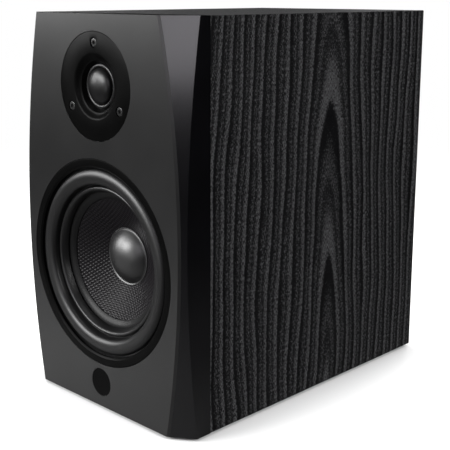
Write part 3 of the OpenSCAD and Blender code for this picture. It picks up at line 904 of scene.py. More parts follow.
ASH = (0.0024, 0.0024, 0.0027)
ASH_TINT = (0.0040, 0.0040, 0.0044)
FINISHES: dict[str, Finish] = {finish.name().removesuffix("_look"): finish for finish in (
    BlackAsh("black_ash", ASH, ASH_TINT, 0.50, specular=0.09, centre=0.019),
    BlackAsh("black_ash", ASH, ASH_TINT, 0.48, specular=0.09, grain=Grain.ACROSS_TOP, centre=0.03,
             face=0.3325),
    BlackAsh("black_ash", ASH, ASH_TINT, 0.50, specular=0.09, grain=Grain.UPRIGHT_REAR, centre=-0.01,
             face=0.1565),
    Finish("raw_board", (0.36, 0.24, 0.13), (0.28, 0.18, 0.09), 0.75, pebble_scale=700, pebble_depth=0.0002),
    OpenFoam("foam", (0.045, 0.046, 0.05), (0.035, 0.036, 0.04), 0.95, sheen=0.2),
    Finish("gloss_black", (0.0010, 0.0009, 0.0014), (0.0014, 0.0013, 0.0020), 0.24, gloss_spread=0.02,
           pebble_scale=500, pebble_depth=0.0000015, coat=0.4, coat_roughness=0.16),
    Finish("satin_grey", (0.0100, 0.0100, 0.0101), (0.0115, 0.0115, 0.0116), 0.30, gloss_spread=0.03,
           pebble_scale=4200, pebble_depth=0.000004),
    Finish("badge_black", (0.0012, 0.0012, 0.0012), (0.0018, 0.0018, 0.0018), 0.45, gloss_spread=0.04,
           pebble_scale=900, pebble_depth=0.000002, specular=0.04),
    Finish("foot_rubber", (0.010, 0.010, 0.010), (0.014, 0.014, 0.014), 0.75, pebble_scale=1200),
    Finish("matt_black", (0.0016, 0.0016, 0.0016), (0.0022, 0.0022, 0.0022), 0.36, gloss_spread=0.04,
           pebble_scale=3600, pebble_depth=0.000006, specular=0.04),
    Finish("cast_black", (0.010, 0.010, 0.011), (0.016, 0.016, 0.017), 0.55, pebble_scale=900,
           pebble_depth=0.00008),
    Finish("black_steel", (0.10, 0.10, 0.10), (0.12, 0.12, 0.12), 0.25, metallic=0.9,
           pebble_scale=2500, pebble_depth=0.000005),
    Finish("surround_rubber", (0.0016, 0.0016, 0.0018), (0.0022, 0.0022, 0.0025), 0.40, gloss_spread=0.03,
           pebble_scale=2600, pebble_depth=0.000005, specular=0.5),
    Woven("woven_cone", (0.0012, 0.0010, 0.0013), (0.0018, 0.0016, 0.0020), 0.44, specular=0.14,
          strand=(0.0085, 0.0070, 0.0088), pitch=0.0033, strand_depth=0.0003, squash=0.75),
    Finish("cone_band", (0.0024, 0.0024, 0.0026), (0.0030, 0.0030, 0.0033), 0.42, specular=0.2,
           pebble_scale=3800, pebble_depth=0.000006),
    Finish("cap_satin", (0.0020, 0.0020, 0.0022), (0.0026, 0.0026, 0.0029), 0.41, gloss_spread=0.02,
           pebble_scale=3800, pebble_depth=0.000004, specular=1.0),
    Turned("former_film", (0.48, 0.36, 0.20), (0.42, 0.31, 0.17), 0.4, ring=(0.5, 0.38, 0.22), pitch=0.003),
    Turned("copper", (0.42, 0.16, 0.06), (0.36, 0.13, 0.05), 0.3, metallic=0.9, ring=(0.62, 0.26, 0.11),
           pitch=0.0007, ring_depth=0.0001),
    Woven("spider_cloth", (0.40, 0.26, 0.10), (0.34, 0.22, 0.08), 0.8, strand=(0.55, 0.38, 0.17),
          pitch=0.0012, strand_depth=0.0001),
    Turned("motor_steel", (0.36, 0.37, 0.39), (0.30, 0.31, 0.33), 0.32, metallic=1.0,
           ring=(0.42, 0.43, 0.45), pitch=0.0009, ring_depth=0.00001),
    Finish("ferrite", (0.028, 0.028, 0.030), (0.045, 0.045, 0.048), 0.7, pebble_scale=1100,
           pebble_depth=0.0001),
    Finish("fibre_board", (0.26, 0.11, 0.03), (0.20, 0.08, 0.02), 0.6, pebble_scale=900),
    Woven("dome_silk", (0.0020, 0.0020, 0.0023), (0.0028, 0.0028, 0.0032), 0.42, specular=0.35,
          strand=(0.0034, 0.0034, 0.0038), pitch=0.0007, strand_depth=0.000010),
    Finish("board_green", (0.020, 0.085, 0.040), (0.028, 0.11, 0.05), 0.35, pebble_scale=300,
           pebble_depth=0.00004),
    Finish("capacitor_wrap", (0.55, 0.46, 0.24), (0.50, 0.42, 0.21), 0.35, pebble_scale=600),
    Finish("ceramic", (0.74, 0.71, 0.64), (0.68, 0.65, 0.58), 0.8, pebble_scale=1500, pebble_depth=0.0001),
    Finish("wire_sheath", (0.10, 0.018, 0.016), (0.13, 0.022, 0.018), 0.42, pebble_scale=800),
    Finish("black_plastic", (0.0075, 0.0075, 0.0080), (0.0100, 0.0100, 0.0105), 0.46, gloss_spread=0.08,
           pebble_scale=1900, pebble_depth=0.00003),
    Finish("brass_metal", (0.78, 0.56, 0.22), (0.72, 0.50, 0.19), 0.22, metallic=1.0, pebble_scale=1200,
           pebble_depth=0.000006),
    Finish("red_plastic", (0.33, 0.012, 0.012), (0.28, 0.010, 0.010), 0.30, gloss_spread=0.06,
           pebble_scale=900, pebble_depth=0.00001),
)}


def dress(piece: bpy.types.Object, finish: str) -> bpy.types.Object:
    """Give a piece its finish in every material slot.

    Args:
        piece: A new piece or a CAD node.
        finish: Name of the finish.

    Returns:
        The same piece.
    """
    material = FINISHES[finish].material()
    if not piece.material_slots:
        piece.data.materials.append(material)
    for place in piece.material_slots:
        place.material = material
    return piece


def dress_nodes(**finishes: str) -> None:
    """Give CAD nodes that keep their shape their finishes, by the node's name."""
    for node, finish in finishes.items():
        dress(frame["nodes"][node], finish)
        log.info("%s keeps its CAD shape with a %s finish", node, finish)


def stand_for(piece: bpy.types.Object, body: Body, *nodes: str) -> None:
    """Let a finished piece ride on a body in place of its CAD nodes."""
    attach(piece, body.value)
    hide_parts(*nodes)
    log.info("%s rides on %s and stands for %s", piece.name, body.value, ", ".join(nodes))


def flex_between(piece: bpy.types.Object, lathe: Lathe, span: Station, body: Body,
                 *nodes: str) -> None:
    """Let a ring bend between the cabinet and a moving driver part.

    Args:
        piece: The ring, with no parent.
        lathe: The driver's axis.
        span: Radius at which it is fixed to the frame, and to the moving part, in millimetres.
        body: The moving body.
        nodes: CAD nodes it stands for.
    """
    still, moving = (radius * MM for radius in span)
    start = lathe.origin + Vector((0, 0, still))
    end = lathe.origin + Vector((0, 0, moving))
    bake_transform(piece, Body.CABINET.value, body.value, start, end)
    weights = piece.data.attributes["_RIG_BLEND"].data
    for vertex, weight in zip(piece.data.vertices, weights):
        spoke = vertex.co - lathe.origin
        spoke -= lathe.axis * spoke.dot(lathe.axis)
        share = min(max((still - spoke.length) / (still - moving), 0.0), 1.0)
        weight.value = share * share * (3 - 2 * share)
    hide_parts(*nodes)
    log.info("%s flexes between the cabinet and %s", piece.name, body.value)


# ---------------------------------------------------------------- the speaker


@dataclass
class Cabinet:
    """The veneered sleeve: four mitred panels and the back panel, on four feet."""

    corner: float = 0.7 * MM
    panel: float = 15 * MM
    port_fit: float = 0.25 * MM
    port_seat: float = 3.5 * MM
    cup_fit: float = 0.3 * MM
    cup_seat: float = 3 * MM
    cup_lip: tuple[float, float] = (7.5 * MM, 8.5 * MM)
    back_corner: float = 0.4 * MM
    bore_length: float = 60 * MM
    bore_sides: int = 128
    foot_ring: float = 0.6 * MM
    foot_corner: float = 0.3 * MM
    foot_sides: int = 64

    def build(self) -> None:
        """Model and dress every panel and foot."""
        self.build_sleeve()
        self.build_back()
        self.build_feet()

    def mitred(self, node: str, inward: Vector) -> bpy.types.Object:
        """Model one panel of the sleeve with mitred ends.

        Args:
            node: The CAD panel it stands for.
            inward: Direction from the outer face into the cabinet.

        Returns:
            The panel.
        """
        low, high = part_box(node)
        piece = Bench.block(f"{node}_veneered", low, high)
        run = 2 if abs(inward.x) > 0.5 else 0
        length = high[run] - low[run]
        bpy.ops.object.mode_set(mode="EDIT")
        Bench.pick(piece, Pick.FACES, lambda place, normal: normal.dot(inward) > 0.9)
        scale = Vector((1, 1, 1))
        scale[run] = (length - 2 * self.panel) / length
        bpy.ops.transform.resize(value=scale, center_override=(low + high) / 2)
        bpy.ops.object.mode_set(mode="OBJECT")
        Bench.ease_edges(piece, self.corner)
        return piece

    def build_sleeve(self) -> None:
        """The two sides, the top and the bottom."""
        for node, inward, finish in (
                ("side_panel_left", Vector((1, 0, 0)), "black_ash_upright_side"),
                ("side_panel_right", Vector((-1, 0, 0)), "black_ash_upright_side"),
                ("top_panel", Vector((0, 0, -1)), "black_ash_across_top"),
                ("bottom_panel", Vector((0, 0, 1)), "black_ash_across_top")):
            piece = self.mitred(node, inward)
            stand_for(dress(piece, finish), Body.CABINET, node)

    def build_back(self) -> None:
        """The back panel with the port's hole and the terminal cup's opening."""
        low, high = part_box("back_panel")
        piece = Bench.block("back_panel_veneered", low, high)
        port_low, port_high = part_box("port_tube")
        rebate = radius_of("port_tube") + self.port_fit
        centre = (port_low + port_high) / 2
        self.bore(piece, centre, rebate - self.port_seat, low.y - MM)
        self.bore(piece, centre, rebate, high.y - self.port_seat)
        cup_low, cup_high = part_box("terminal_cup")
        grow = Vector((self.cup_fit, 0, self.cup_fit))
        outer_low = Vector((cup_low.x, high.y - self.cup_seat, cup_low.z)) - grow
        outer_high = Vector((cup_high.x, high.y + MM, cup_high.z)) + grow
        Bench.combine(piece, Bench.block("cup_rebate", outer_low, outer_high))
        inset = Vector((self.cup_lip[0], 0, self.cup_lip[1]))
        hole_low = Vector((outer_low.x, low.y - MM, outer_low.z)) + inset
        Bench.combine(piece, Bench.block("cup_hole", hole_low, outer_high - inset))
        Bench.ease_edges(piece, self.back_corner, 2)
        stand_for(dress(piece, "black_ash_upright_rear"), Body.CABINET, "back_panel")

    def bore(self, piece: bpy.types.Object, centre: Vector, radius: float, start: float) -> None:
        """Bore a hole along +Y from a depth to behind the panel."""
        base = Vector((centre.x, start, centre.z))
        Bench.combine(piece, Bench.rod("bore", base, radius, self.bore_length, self.bore_sides))

    def build_feet(self) -> None:
        """One rubber foot, turned once and copied to its four places."""
        first: bpy.types.Object | None = None
        home = Vector()
        for node in ("foot_front_left", "foot_front_right", "foot_back_left", "foot_back_right"):
            low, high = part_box(node)
            middle = Vector(((low.x + high.x) / 2, (low.y + high.y) / 2, low.z))
            if first is None:
                radius, height = (high.x - low.x) / 2, high.z - low.z
                lathe = Lathe(middle, UPWARDS, self.foot_sides)
                outline = [(1e-4, 0.0), (radius * 0.55, 0.0), (radius * 0.6, self.foot_ring),
                           (radius * 0.72, self.foot_ring), (radius * 0.78, 0.0),
                           (radius * 0.94, 0.0), (radius, height), (0.0, height)]
                first = lathe.turned(f"{node}_moulded", eased(
                    outline, self.foot_corner, 3, closed=False), closed=False)
                home = middle
                piece = first
            else:
                piece = Bench.copied(first, f"{node}_moulded", Matrix.Translation(middle - home))
            stand_for(dress(piece, "foot_rubber"), Body.CABINET, node)


@dataclass
class FrontBaffle:
    """The gloss baffle with its cone-cut sides, the satin face plate and the badge."""

    plate: float = 1.5 * MM
    barrel_radius: float = 800 * MM
    barrel_half_width: float = 96 * MM
    barrel_height: float = 150 * MM
    slope: float = 1.4
    cone_reach: float = 40 * MM
    cone_sides: int = 960
    fit: float = 0.3 * MM
    woofer_seat: float = 8.2 * MM
    woofer_hole: float = 75.8 * MM
    tweeter_seat: float = 4.6 * MM
    tweeter_hole: float = 30.5 * MM
    hole_length: float = 40 * MM
    hole_sides: int = 160
    plate_corner: float = 0.9 * MM
    baffle_corner: float = 0.5 * MM
    badge_rim: float = 0.6 * MM
    badge_dish: float = 0.12 * MM
    badge_corner: float = 0.15 * MM
    front: float = field(init=False)
    base: float = field(init=False)

    def build(self) -> None:
        """Model and dress the baffle, the plate and the badge."""
        low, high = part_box("front_baffle")
        self.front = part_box("baffle_face_plate")[0].y
        self.base = low.z
        seam = self.front + self.plate
        baffle = self.barrel("front_baffle_moulded", Vector((low.x, seam, low.z)), high)
        plate = self.barrel("face_plate_satin", Vector((low.x, self.front, low.z)),
                            Vector((high.x, seam, high.z)))
        for node, seat, through in (("woofer_trim_ring", self.woofer_seat, self.woofer_hole),
                                    ("tweeter_faceplate", self.tweeter_seat, self.tweeter_hole),
                                    ("badge", 0.0, 0.0)):
            node_low, node_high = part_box(node)
            centre = (node_low + node_high) / 2
            radius = radius_of(node) + self.fit
            self.hole(plate, centre, radius, self.front - MM, self.plate + 2 * MM)
            if through:
                self.hole(baffle, centre, radius, self.front - MM, seat + MM)
                self.hole(baffle, centre, through, self.front, self.hole_length)
        Bench.ease_edges(plate, self.plate_corner, 5)
        Bench.ease_edges(baffle, self.baffle_corner, 3)
        stand_for(dress(plate, "satin_grey"), Body.CABINET, "baffle_face_plate")
        stand_for(dress(baffle, "gloss_black"), Body.CABINET, "front_baffle")
        self.build_badge()

    def barrel(self, name: str, low: Vector, high: Vector) -> bpy.types.Object:
        """Cut a block to the barrel outline that both layers of the front share.

        Args:
            name: The piece's name.
            low: The block's lowest corner.
            high: The block's highest corner.

        Returns:
            The cut block.
        """
        piece = Bench.block(name, low, high)
        grow = self.slope * self.cone_reach
        for side in (-1, 1):
            Bench.clear()
            bpy.ops.mesh.primitive_cone_add(
                vertices=self.cone_sides, radius1=self.barrel_radius - grow,
                radius2=self.barrel_radius + grow, depth=2 * self.cone_reach,
                location=(side * (self.barrel_half_width - self.barrel_radius), self.front,
                          self.base + self.barrel_height),
                rotation=(-math.pi / 2, 0, 0))
            Bench.combine(piece, Bench.settled("side_cone"), Solid.KEEP)
        return piece

    def hole(self, piece: bpy.types.Object, centre: Vector, radius: float, start: float,
             length: float) -> None:
        """Bore a driver's hole or recess along +Y."""
        base = Vector((centre.x, start, centre.z))
        Bench.combine(piece, Bench.rod("hole", base, radius, length, self.hole_sides))

    def build_badge(self) -> None:
        """A blank disc with a fine rim, flush with the plate."""
        radius = radius_of("badge")
        outline = [(radius, self.plate), (radius, 0.0), (radius - self.badge_rim, 0.0),
                   (radius - self.badge_rim - 0.2 * MM, self.badge_dish), (0.0, self.badge_dish)]
        disc = lathe_for("badge", 96).turned(
            "badge_disc", eased(outline, self.badge_corner, 3, closed=False), closed=False)
        stand_for(dress(disc, "badge_black"), Body.CABINET, "badge")


@dataclass
class Woofer:
    """The large driver: trim ring, surround, woven cone and dust cap.

    Its sizes and stations are in millimetres.
    """

    ring_outer: float = 87.8
    ring_inner: float = 80.3
    ring_depth: float = 3.2
    roll_middle: float = 72.3
    roll_half: float = 6.9
    roll_base: float = 5.6
    roll_height: float = 5.2
    rubber: float = 0.9
    bead: tuple[Station, ...] = ((65.4, 7.6), (65.2, 8.5), (64.9, 9.05), (64.5, 9.1), (64.1, 8.8),
                                 (63.6, 8.0), (63.1, 7.35), (62.5, 7.0), (61.9, 6.9), (61.2, 7.15),
                                 (60.5, 7.8), (59.9, 8.7), (59.3, 9.9), (58.8, 11.1), (58.5, 12.1),
                                 (58.2, 13.1))
    band: tuple[Station, ...] = ((62.2, 14.3), (57.4, 14.3), (55.2, 15.3), (52.5, 16.9),
                                 (52.1, 17.35), (52.0, 18.1))
    weave: tuple[Station, ...] = ((52.6, 17.75), (46.0, 20.9), (40.0, 24.35), (34.0, 27.55),
                                  (29.0, 30.1), (24.0, 32.6), (16.6, 36.6))
    paper: float = 0.9
    cap_line: tuple[Station, ...] = ((24.9, 31.55), (24.5, 31.45), (23.6, 32.05))
    cap_rim: Station = (23.1, 31.8)
    cap_height: float = 10.6
    cap_steps: int = 22
    cap_wall: float = 0.7
    surround_span: Station = (78.8, 65.6)
    spider_span: Station = (50.0, 17.5)
    lead_span: Station = (63.0, 34.0)
    lathe: Lathe = field(init=False)

    def build(self) -> None:
        """Model and dress the visible pieces and dress the motor."""
        self.lathe = lathe_for("woofer_trim_ring", 160)
        self.build_ring()
        self.build_surround()
        self.build_cone()
        self.build_cap()
        self.build_flexing_parts()
        self.dress_motor()

    def build_ring(self) -> None:
        """The flat trim ring over the basket's screws."""
        outline = scaled([(self.ring_outer, self.ring_depth), (self.ring_outer, 0.05),
                          (self.ring_inner + 1.6, 0.0), (self.ring_inner, 1.3),
                          (self.ring_inner, self.ring_depth)])
        ring = self.lathe.turned("woofer_trim_ring_turned", eased(outline, 0.45 * MM))
        stand_for(dress(ring, "matt_black"), Body.CABINET, "woofer_trim_ring")

    def build_surround(self) -> None:
        """The half roll and the raised bead over the cone's edge."""
        roll = arc((self.roll_middle, self.roll_base), (self.roll_half, self.roll_height),
                   10, 172, 30)
        line = [(self.ring_inner, self.roll_base - self.rubber), *roll, *self.bead]
        outline = scaled(sheet_outline(line, self.rubber))
        surround = self.lathe.turned("woofer_surround_moulded", outline)
        dress(surround, "surround_rubber")
        flex_between(surround, self.lathe, self.surround_span, Body.WOOFER, "woofer_surround")

    def build_cone(self) -> None:
        """The smooth outer band and the woven cone inside it."""
        for name, line, finish in (("woofer_cone_band", self.band, "cone_band"),
                                   ("woofer_cone_weave", self.weave, "woven_cone")):
            piece = self.lathe.turned(name, scaled(sheet_outline(line, self.paper)))
            stand_for(dress(piece, finish), Body.WOOFER, "woofer_cone")

    def build_cap(self) -> None:
        """The dust cap, with a small rolled rim."""
        line = [*self.cap_line, *dome_line(self.cap_rim, self.cap_height, self.cap_steps)]
        outline = scaled(sheet_outline(line, self.cap_wall)[:-1])
        piece = self.lathe.turned("woofer_dust_cap_pressed", outline)
        stand_for(dress(piece, "cap_satin"), Body.WOOFER, "woofer_dust_cap")

    def build_flexing_parts(self) -> None:
        """The spider and the tinsel leads, which bend with the cone."""
        spider = dress(Bench.from_node("woofer_spider", "woofer_spider_corrugated"), "spider_cloth")
        flex_between(spider, self.lathe, self.spider_span, Body.WOOFER, "woofer_spider")
        leads = dress(Bench.from_node("woofer_tinsel_leads", "woofer_leads_braided"), "copper")
        flex_between(leads, self.lathe, self.lead_span, Body.WOOFER, "woofer_tinsel_leads")

    def dress_motor(self) -> None:
        """Finish the CAD nodes behind the cone."""
        dress_nodes(woofer_basket="cast_black", woofer_gasket="foam", woofer_screws="black_steel",
                    woofer_coil_former="former_film", woofer_coil_winding="copper",
                    woofer_top_plate="motor_steel", woofer_magnet="ferrite",
                    woofer_yoke="motor_steel", woofer_terminal_strip="fibre_board")


@dataclass
class Tweeter:
    """The small driver: dished face plate, three screws, dome and surround.

    Its sizes and stations are in millimetres.
    """

    plate: float = 4.0
    opening: float = 18.6
    hub: float = 27.0
    hub_back: float = 7.4
    shoulder: tuple[Station, ...] = ((27.2, 0.0), (26.6, 0.06), (26.0, 0.26), (25.4, 0.62), (24.8, 1.1),
                                     (24.0, 1.75), (23.2, 2.4), (22.4, 2.95), (21.7, 3.3), (21.3, 3.38),
                                     (20.95, 3.42), (20.75, 3.6), (20.55, 3.9), (20.0, 4.8))
    screw_circle: float = 35.0
    screw_head: float = 3.8
    screw_fit: float = 0.35
    seat_length: float = 3.4
    socket_radius: float = 1.7
    socket_length: float = 2.6
    dome: float = 14.6
    dome_front: float = 6.9
    dome_height: float = 6.2
    roll: Station = (16.6, 7.4)
    roll_reach: Station = (1.7, 1.5)
    roll_lead: float = 0.1
    silk: float = 0.35
    surround_span: Station = (18.3, 14.9)
    lathe: Lathe = field(init=False)
    outer: float = field(init=False)

    def build(self) -> None:
        """Model and dress the visible pieces and dress the motor."""
        self.outer = radius_of("tweeter_faceplate") / MM
        self.lathe = lathe_for("tweeter_faceplate", 128)
        self.build_plate()
        self.build_screws()
        self.build_dome()
        dress_nodes(tweeter_voice_coil="copper", tweeter_top_plate="motor_steel",
                    tweeter_magnet="ferrite", tweeter_yoke="motor_steel",
                    tweeter_rear_cup="black_plastic", tweeter_terminals="fibre_board")

    def screw_spot(self) -> Vector:
        """Where the top screw's axis meets the front plane."""
        return self.lathe.origin + Vector((0, 0, self.screw_circle * MM))

    def build_plate(self) -> None:
        """The face plate with its soft shoulder, rim line and three counterbores."""
        outline = [(self.outer, self.plate), (self.outer, 0.45), (self.outer - 0.13, 0.13),
                   (self.outer - 0.45, 0.0), *self.shoulder, (self.opening, self.hub_back - 0.6),
                   (self.opening, self.hub_back), (self.hub, self.hub_back), (self.hub, self.plate)]
        plate = self.lathe.turned("tweeter_faceplate_moulded", scaled(outline))
        top = self.screw_spot() - BACKWARDS * MM
        for turn in range(3):
            cutter = Bench.rod("counterbore", top, (self.screw_head + self.screw_fit) * MM,
                               self.seat_length * MM, 48)
            cutter.data.transform(self.lathe.around(turn * 120))
            Bench.combine(plate, cutter)
        Bench.smoothed(plate)
        stand_for(dress(plate, "matt_black"), Body.CABINET, "tweeter_faceplate")

    def build_screws(self) -> None:
        """One socket screw, turned and recessed once, and copied round the circle."""
        lathe = Lathe(self.screw_spot(), BACKWARDS, 48)
        head = self.screw_head
        outline = eased(scaled([(1.6, 9.0), (1.6, 2.2), (head, 2.2), (head, 0.9), (head - 0.7, 0.4),
                                (1e-3, 0.4)]), 0.3 * MM, 3, closed=False)
        base = outline + [(0.0, outline[-1][1])]
        screw = lathe.turned("tweeter_screw", base, closed=False)
        Bench.capped(screw)
        Bench.combine(screw, Bench.rod("hexagon", self.screw_spot() - BACKWARDS * MM,
                                       self.socket_radius * MM, self.socket_length * MM, 6))
        Bench.smoothed(screw)
        others = [Bench.copied(screw, f"tweeter_screw_{turn}", self.lathe.around(turn * 120))
                  for turn in (1, 2)]
        screws = Bench.joined("tweeter_screws_set", [screw, *others])
        stand_for(dress(screws, "black_steel"), Body.CABINET, "tweeter_screws")

    def build_dome(self) -> None:
        """The soft dome and the small roll around it."""
        line = arc((0.0, self.dome_front), (self.dome, self.dome_height), 0, 90, 22)
        line[-1] = (0.0, line[-1][1])
        dome = self.lathe.turned("tweeter_dome_formed", scaled(sheet_outline(line, self.silk)[:-1]))
        stand_for(dress(dome, "dome_silk"), Body.TWEETER, "tweeter_dome")
        level = self.hub_back + self.roll_lead
        roll = [(22.0, level), (18.35, level), *arc(self.roll, self.roll_reach, 5, 175, 14),
                (self.dome + 0.05, level)]
        ring = self.lathe.turned("tweeter_surround_formed", scaled(sheet_outline(roll, self.silk)))
        dress(ring, "dome_silk")
        flex_between(ring, self.lathe, self.surround_span, Body.TWEETER, "tweeter_surround")


@dataclass
class RearPort:
    """The flared port tube, flush with the back, with its sizes in millimetres."""

    inner: float = 22.0
    flange: float = 38.0
    length: float = 120.0
    mouth: float = 14.0
    mouth_steps: int = 14
    wall: float = 2.5
    collar: float = 34.5
    seat: float = 3.5
    edge: float = 0.3

    def build(self) -> None:
        """Turn and dress the tube."""
        lathe = lathe_for("port_tube", 128, at_back=True)
        turns = [math.pi / 2 * i / self.mouth_steps for i in range(self.mouth_steps + 1)]
        flare = [(self.inner + self.mouth * (1 - math.cos(a)), -self.mouth * (1 - math.sin(a)))
                 for a in turns]
        outer = self.inner + self.wall
        outline = [(self.inner, -self.length), *flare, (self.flange - self.edge, 0.0),
                   (self.flange - 0.3 * self.edge, -0.3 * self.edge), (self.flange, -self.edge),
                   (self.flange, -self.seat), (self.collar, -self.seat),
                   (self.inner + 6, -self.mouth + 5), (outer, -self.mouth - 4),
                   (outer, -self.length)]
        tube = lathe.turned("port_tube_flared", scaled(outline))
        stand_for(dress(tube, "black_plastic"), Body.CABINET, "port_tube")


@dataclass
class TerminalCup:
    """The recessed cup, its screws, posts, threaded inserts and turning caps.

    Lines and plain numbers are in millimetres, and what is multiplied by MM is in metres.
    """

    flange: float = 3 * MM
    pocket_width: float = 70 * MM
    pocket_height: float = 46 * MM
    wall: float = 2.5 * MM
    pocket_corner: float = 7 * MM
    draft: tuple[float, float, float] = (0.94, 1, 0.92)
    rim: float = 0.5 * MM
    screw_inset: float = 6 * MM
    screw_seat: float = 1.6 * MM
    screw_seat_radius: float = 3.3 * MM
    screw_line: tuple[Station, ...] = ((3.0, 0.0), (3.0, 0.8), (2.0, 1.35), (1.4, 1.4), (1.4, 0.3))
    socket_radius: float = 2.05
    socket_depth: float = 17.0
    post_radius: float = 3.0
    post_tail: float = 18.0
    collar_radius: float = 6.5
    collar_height: float = 3.0
    insert_bore: float = 3.05 * MM
    cap_line: tuple[Station, ...] = ((7.0, 0.0), (7.0, 19.0), (6.2, 20.2), (6.2, 23.0), (3.3, 23.0),
                                     (3.3, 8.3), (4.65, 8.3), (4.65, 0.0))
    rib_line: tuple[Station, ...] = ((0.05, 0.0), (0.55, 0.1), (0.8, 0.5), (0.8, 16.2), (0.5, 16.8),
                                     (0.05, 17.0))
    rib_reach: float = 6.7 * MM
    ribs: int = 12
    low: Vector = field(init=False)
    high: Vector = field(init=False)
    middle: Vector = field(init=False)

    def build(self) -> None:
        """Model and dress the cup and its fittings."""
        self.low, self.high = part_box("terminal_cup")
        self.middle = face_centre("terminal_cup", at_back=True)
        self.build_cup()
        self.build_screws()
        self.build_posts()
        self.build_inserts()
        self.build_caps()
        dress_nodes(terminal_nuts="motor_steel")

    def build_cup(self) -> None:
        """The flange with a drafted pocket pushed in from it."""
        low = Vector((self.low.x, self.high.y - self.flange, self.low.z))
        cup = Bench.block("terminal_cup_moulded", low, self.high)
        half = Vector((self.pocket_width / 2, 0, self.pocket_height / 2))
        skin = Vector((self.wall, 0, self.wall))
        back = Vector((self.middle.x, self.low.y, self.middle.z))
        floor = back + BACKWARDS * self.wall
        Bench.combine(cup, Bench.block("pocket_shell", back - half - skin,
                                       self.middle - BACKWARDS * MM + half + skin), Solid.FUSE)
        pocket = Bench.block("pocket", floor - half, self.middle + BACKWARDS * MM + half)
        bpy.ops.object.mode_set(mode="EDIT")
        Bench.pick(pocket, Pick.EDGES, lambda place, line: abs(line.y) > 0.9)
        bpy.ops.mesh.bevel(offset=self.pocket_corner, segments=6, affect="EDGES")
        Bench.pick(pocket, Pick.FACES, lambda place, normal: normal.y < -0.9)
        bpy.ops.transform.resize(value=self.draft, center_override=floor)
        bpy.ops.object.mode_set(mode="OBJECT")
        Bench.combine(cup, pocket)
        for spot in self.screw_spots():
            Bench.combine(cup, Bench.rod("screw_seat", spot, self.screw_seat_radius, 4 * MM, 40))
        Bench.ease_edges(cup, self.rim, 3, 40)
        stand_for(dress(cup, "black_plastic"), Body.CABINET, "terminal_cup")

    def screw_spots(self) -> list[Vector]:
        """Where the four screws' heads rest, sunk in the flange."""
        depth = self.high.y - self.screw_seat
        return [Vector((x, depth, z))
                for x in (self.low.x + self.screw_inset, self.high.x - self.screw_inset)
                for z in (self.low.z + self.screw_inset, self.high.z - self.screw_inset)]

    def build_screws(self) -> None:
        """One pan screw with a socket, copied to the four corners."""
        home, *spots = self.screw_spots()
        outline = eased(scaled(self.screw_line), 0.25 * MM, 3, closed=False)
        screw = Lathe(home, BACKWARDS, 40).turned(
            "cup_screw", outline + [(0.0, outline[-1][1])], closed=False)
        others = [Bench.copied(screw, f"cup_screw_{i}", Matrix.Translation(spot - home))
                  for i, spot in enumerate(spots)]
        screws = Bench.joined("terminal_cup_screws_set", [screw, *others])
        stand_for(dress(screws, "black_steel"), Body.CABINET, "terminal_cup_screws")

    def build_posts(self) -> None:
        """Both plated posts, with a hollow end."""
        low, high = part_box("binding_posts")
        floor = self.low.y + self.wall
        left = Vector((low.x + self.collar_radius * MM, floor, self.middle.z))
        end = (high.y - floor) / MM
        line = [(self.socket_radius, end - self.socket_depth), (self.socket_radius, end),
                (self.post_radius, end), (self.post_radius, self.collar_height),
                (self.collar_radius, self.collar_height), (self.collar_radius, 0.0),
                (self.post_radius, 0.0), (self.post_radius, -self.post_tail)]
        post = Lathe(left, BACKWARDS, 64).turned(
            "binding_post", eased(scaled(line), 0.3 * MM, 3, closed=False), closed=False)
        Bench.capped(post)
        pitch = high.x - low.x - 2 * self.collar_radius * MM
        other = Bench.copied(post, "binding_post_right", Matrix.Translation((pitch, 0, 0)))
        posts = Bench.joined("binding_posts_plated", [post, other])
        stand_for(dress(posts, "brass_metal"), Body.CABINET, "binding_posts")

    def build_inserts(self) -> None:
        """The brass insert inside each cap."""
        for node, body in (("red_cap_insert", Body.RED_INSERT), ("black_cap_insert", Body.BLACK_INSERT)):
            low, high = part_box(node)
            length, outer = high.y - low.y, radius_of(node)
            outline = eased([(outer, 0.0), (outer, length), (self.insert_bore, length),
                             (self.insert_bore, 0.0)], 0.25 * MM, 3)
            piece = lathe_for(node, 64).turned(f"{node}_turned", outline)
            stand_for(dress(piece, "brass_metal"), body, node)

    def build_caps(self) -> None:
        """The ribbed caps: one rib is modelled, copied round and joined to the turned cap."""
        for node, body, finish in (("red_terminal_cap", Body.RED_CAP, "red_plastic"),
                                   ("black_terminal_cap", Body.BLACK_CAP, "black_plastic")):
            lathe = lathe_for(node, 72)
            cap = lathe.turned(f"{node}_ribbed", eased(scaled(self.cap_line), 0.5 * MM, 4))
            rib_spot = lathe.origin + Vector((self.rib_reach, MM, 0))
            rib = Lathe(rib_spot, BACKWARDS, 16).turned("rib", scaled(self.rib_line))
            ribs = [Bench.copied(rib, f"rib_{i}", lathe.around(360 / self.ribs * i))
                    for i in range(1, self.ribs)]
            cap = Bench.joined(f"{node}_ribbed", [cap, rib, *ribs])
            stand_for(dress(cap, finish), body, node)


@dataclass
class Insides:
    """The pieces that stay as the CAD made them, with their own finishes."""

    def build(self) -> None:
        """Dress the crossover, the wiring, the brace and the foam."""
        dress_nodes(shelf_brace="raw_board", acoustic_foam="foam", crossover_board="board_green",
                    crossover_standoffs="motor_steel", woofer_inductor="copper",
                    tweeter_inductor="copper", crossover_capacitors="capacitor_wrap",
                    crossover_resistor="ceramic", input_wires="wire_sheath",
                    woofer_wires="wire_sheath", tweeter_wires="wire_sheath")


# ---------------------------------------------------------------- the studio


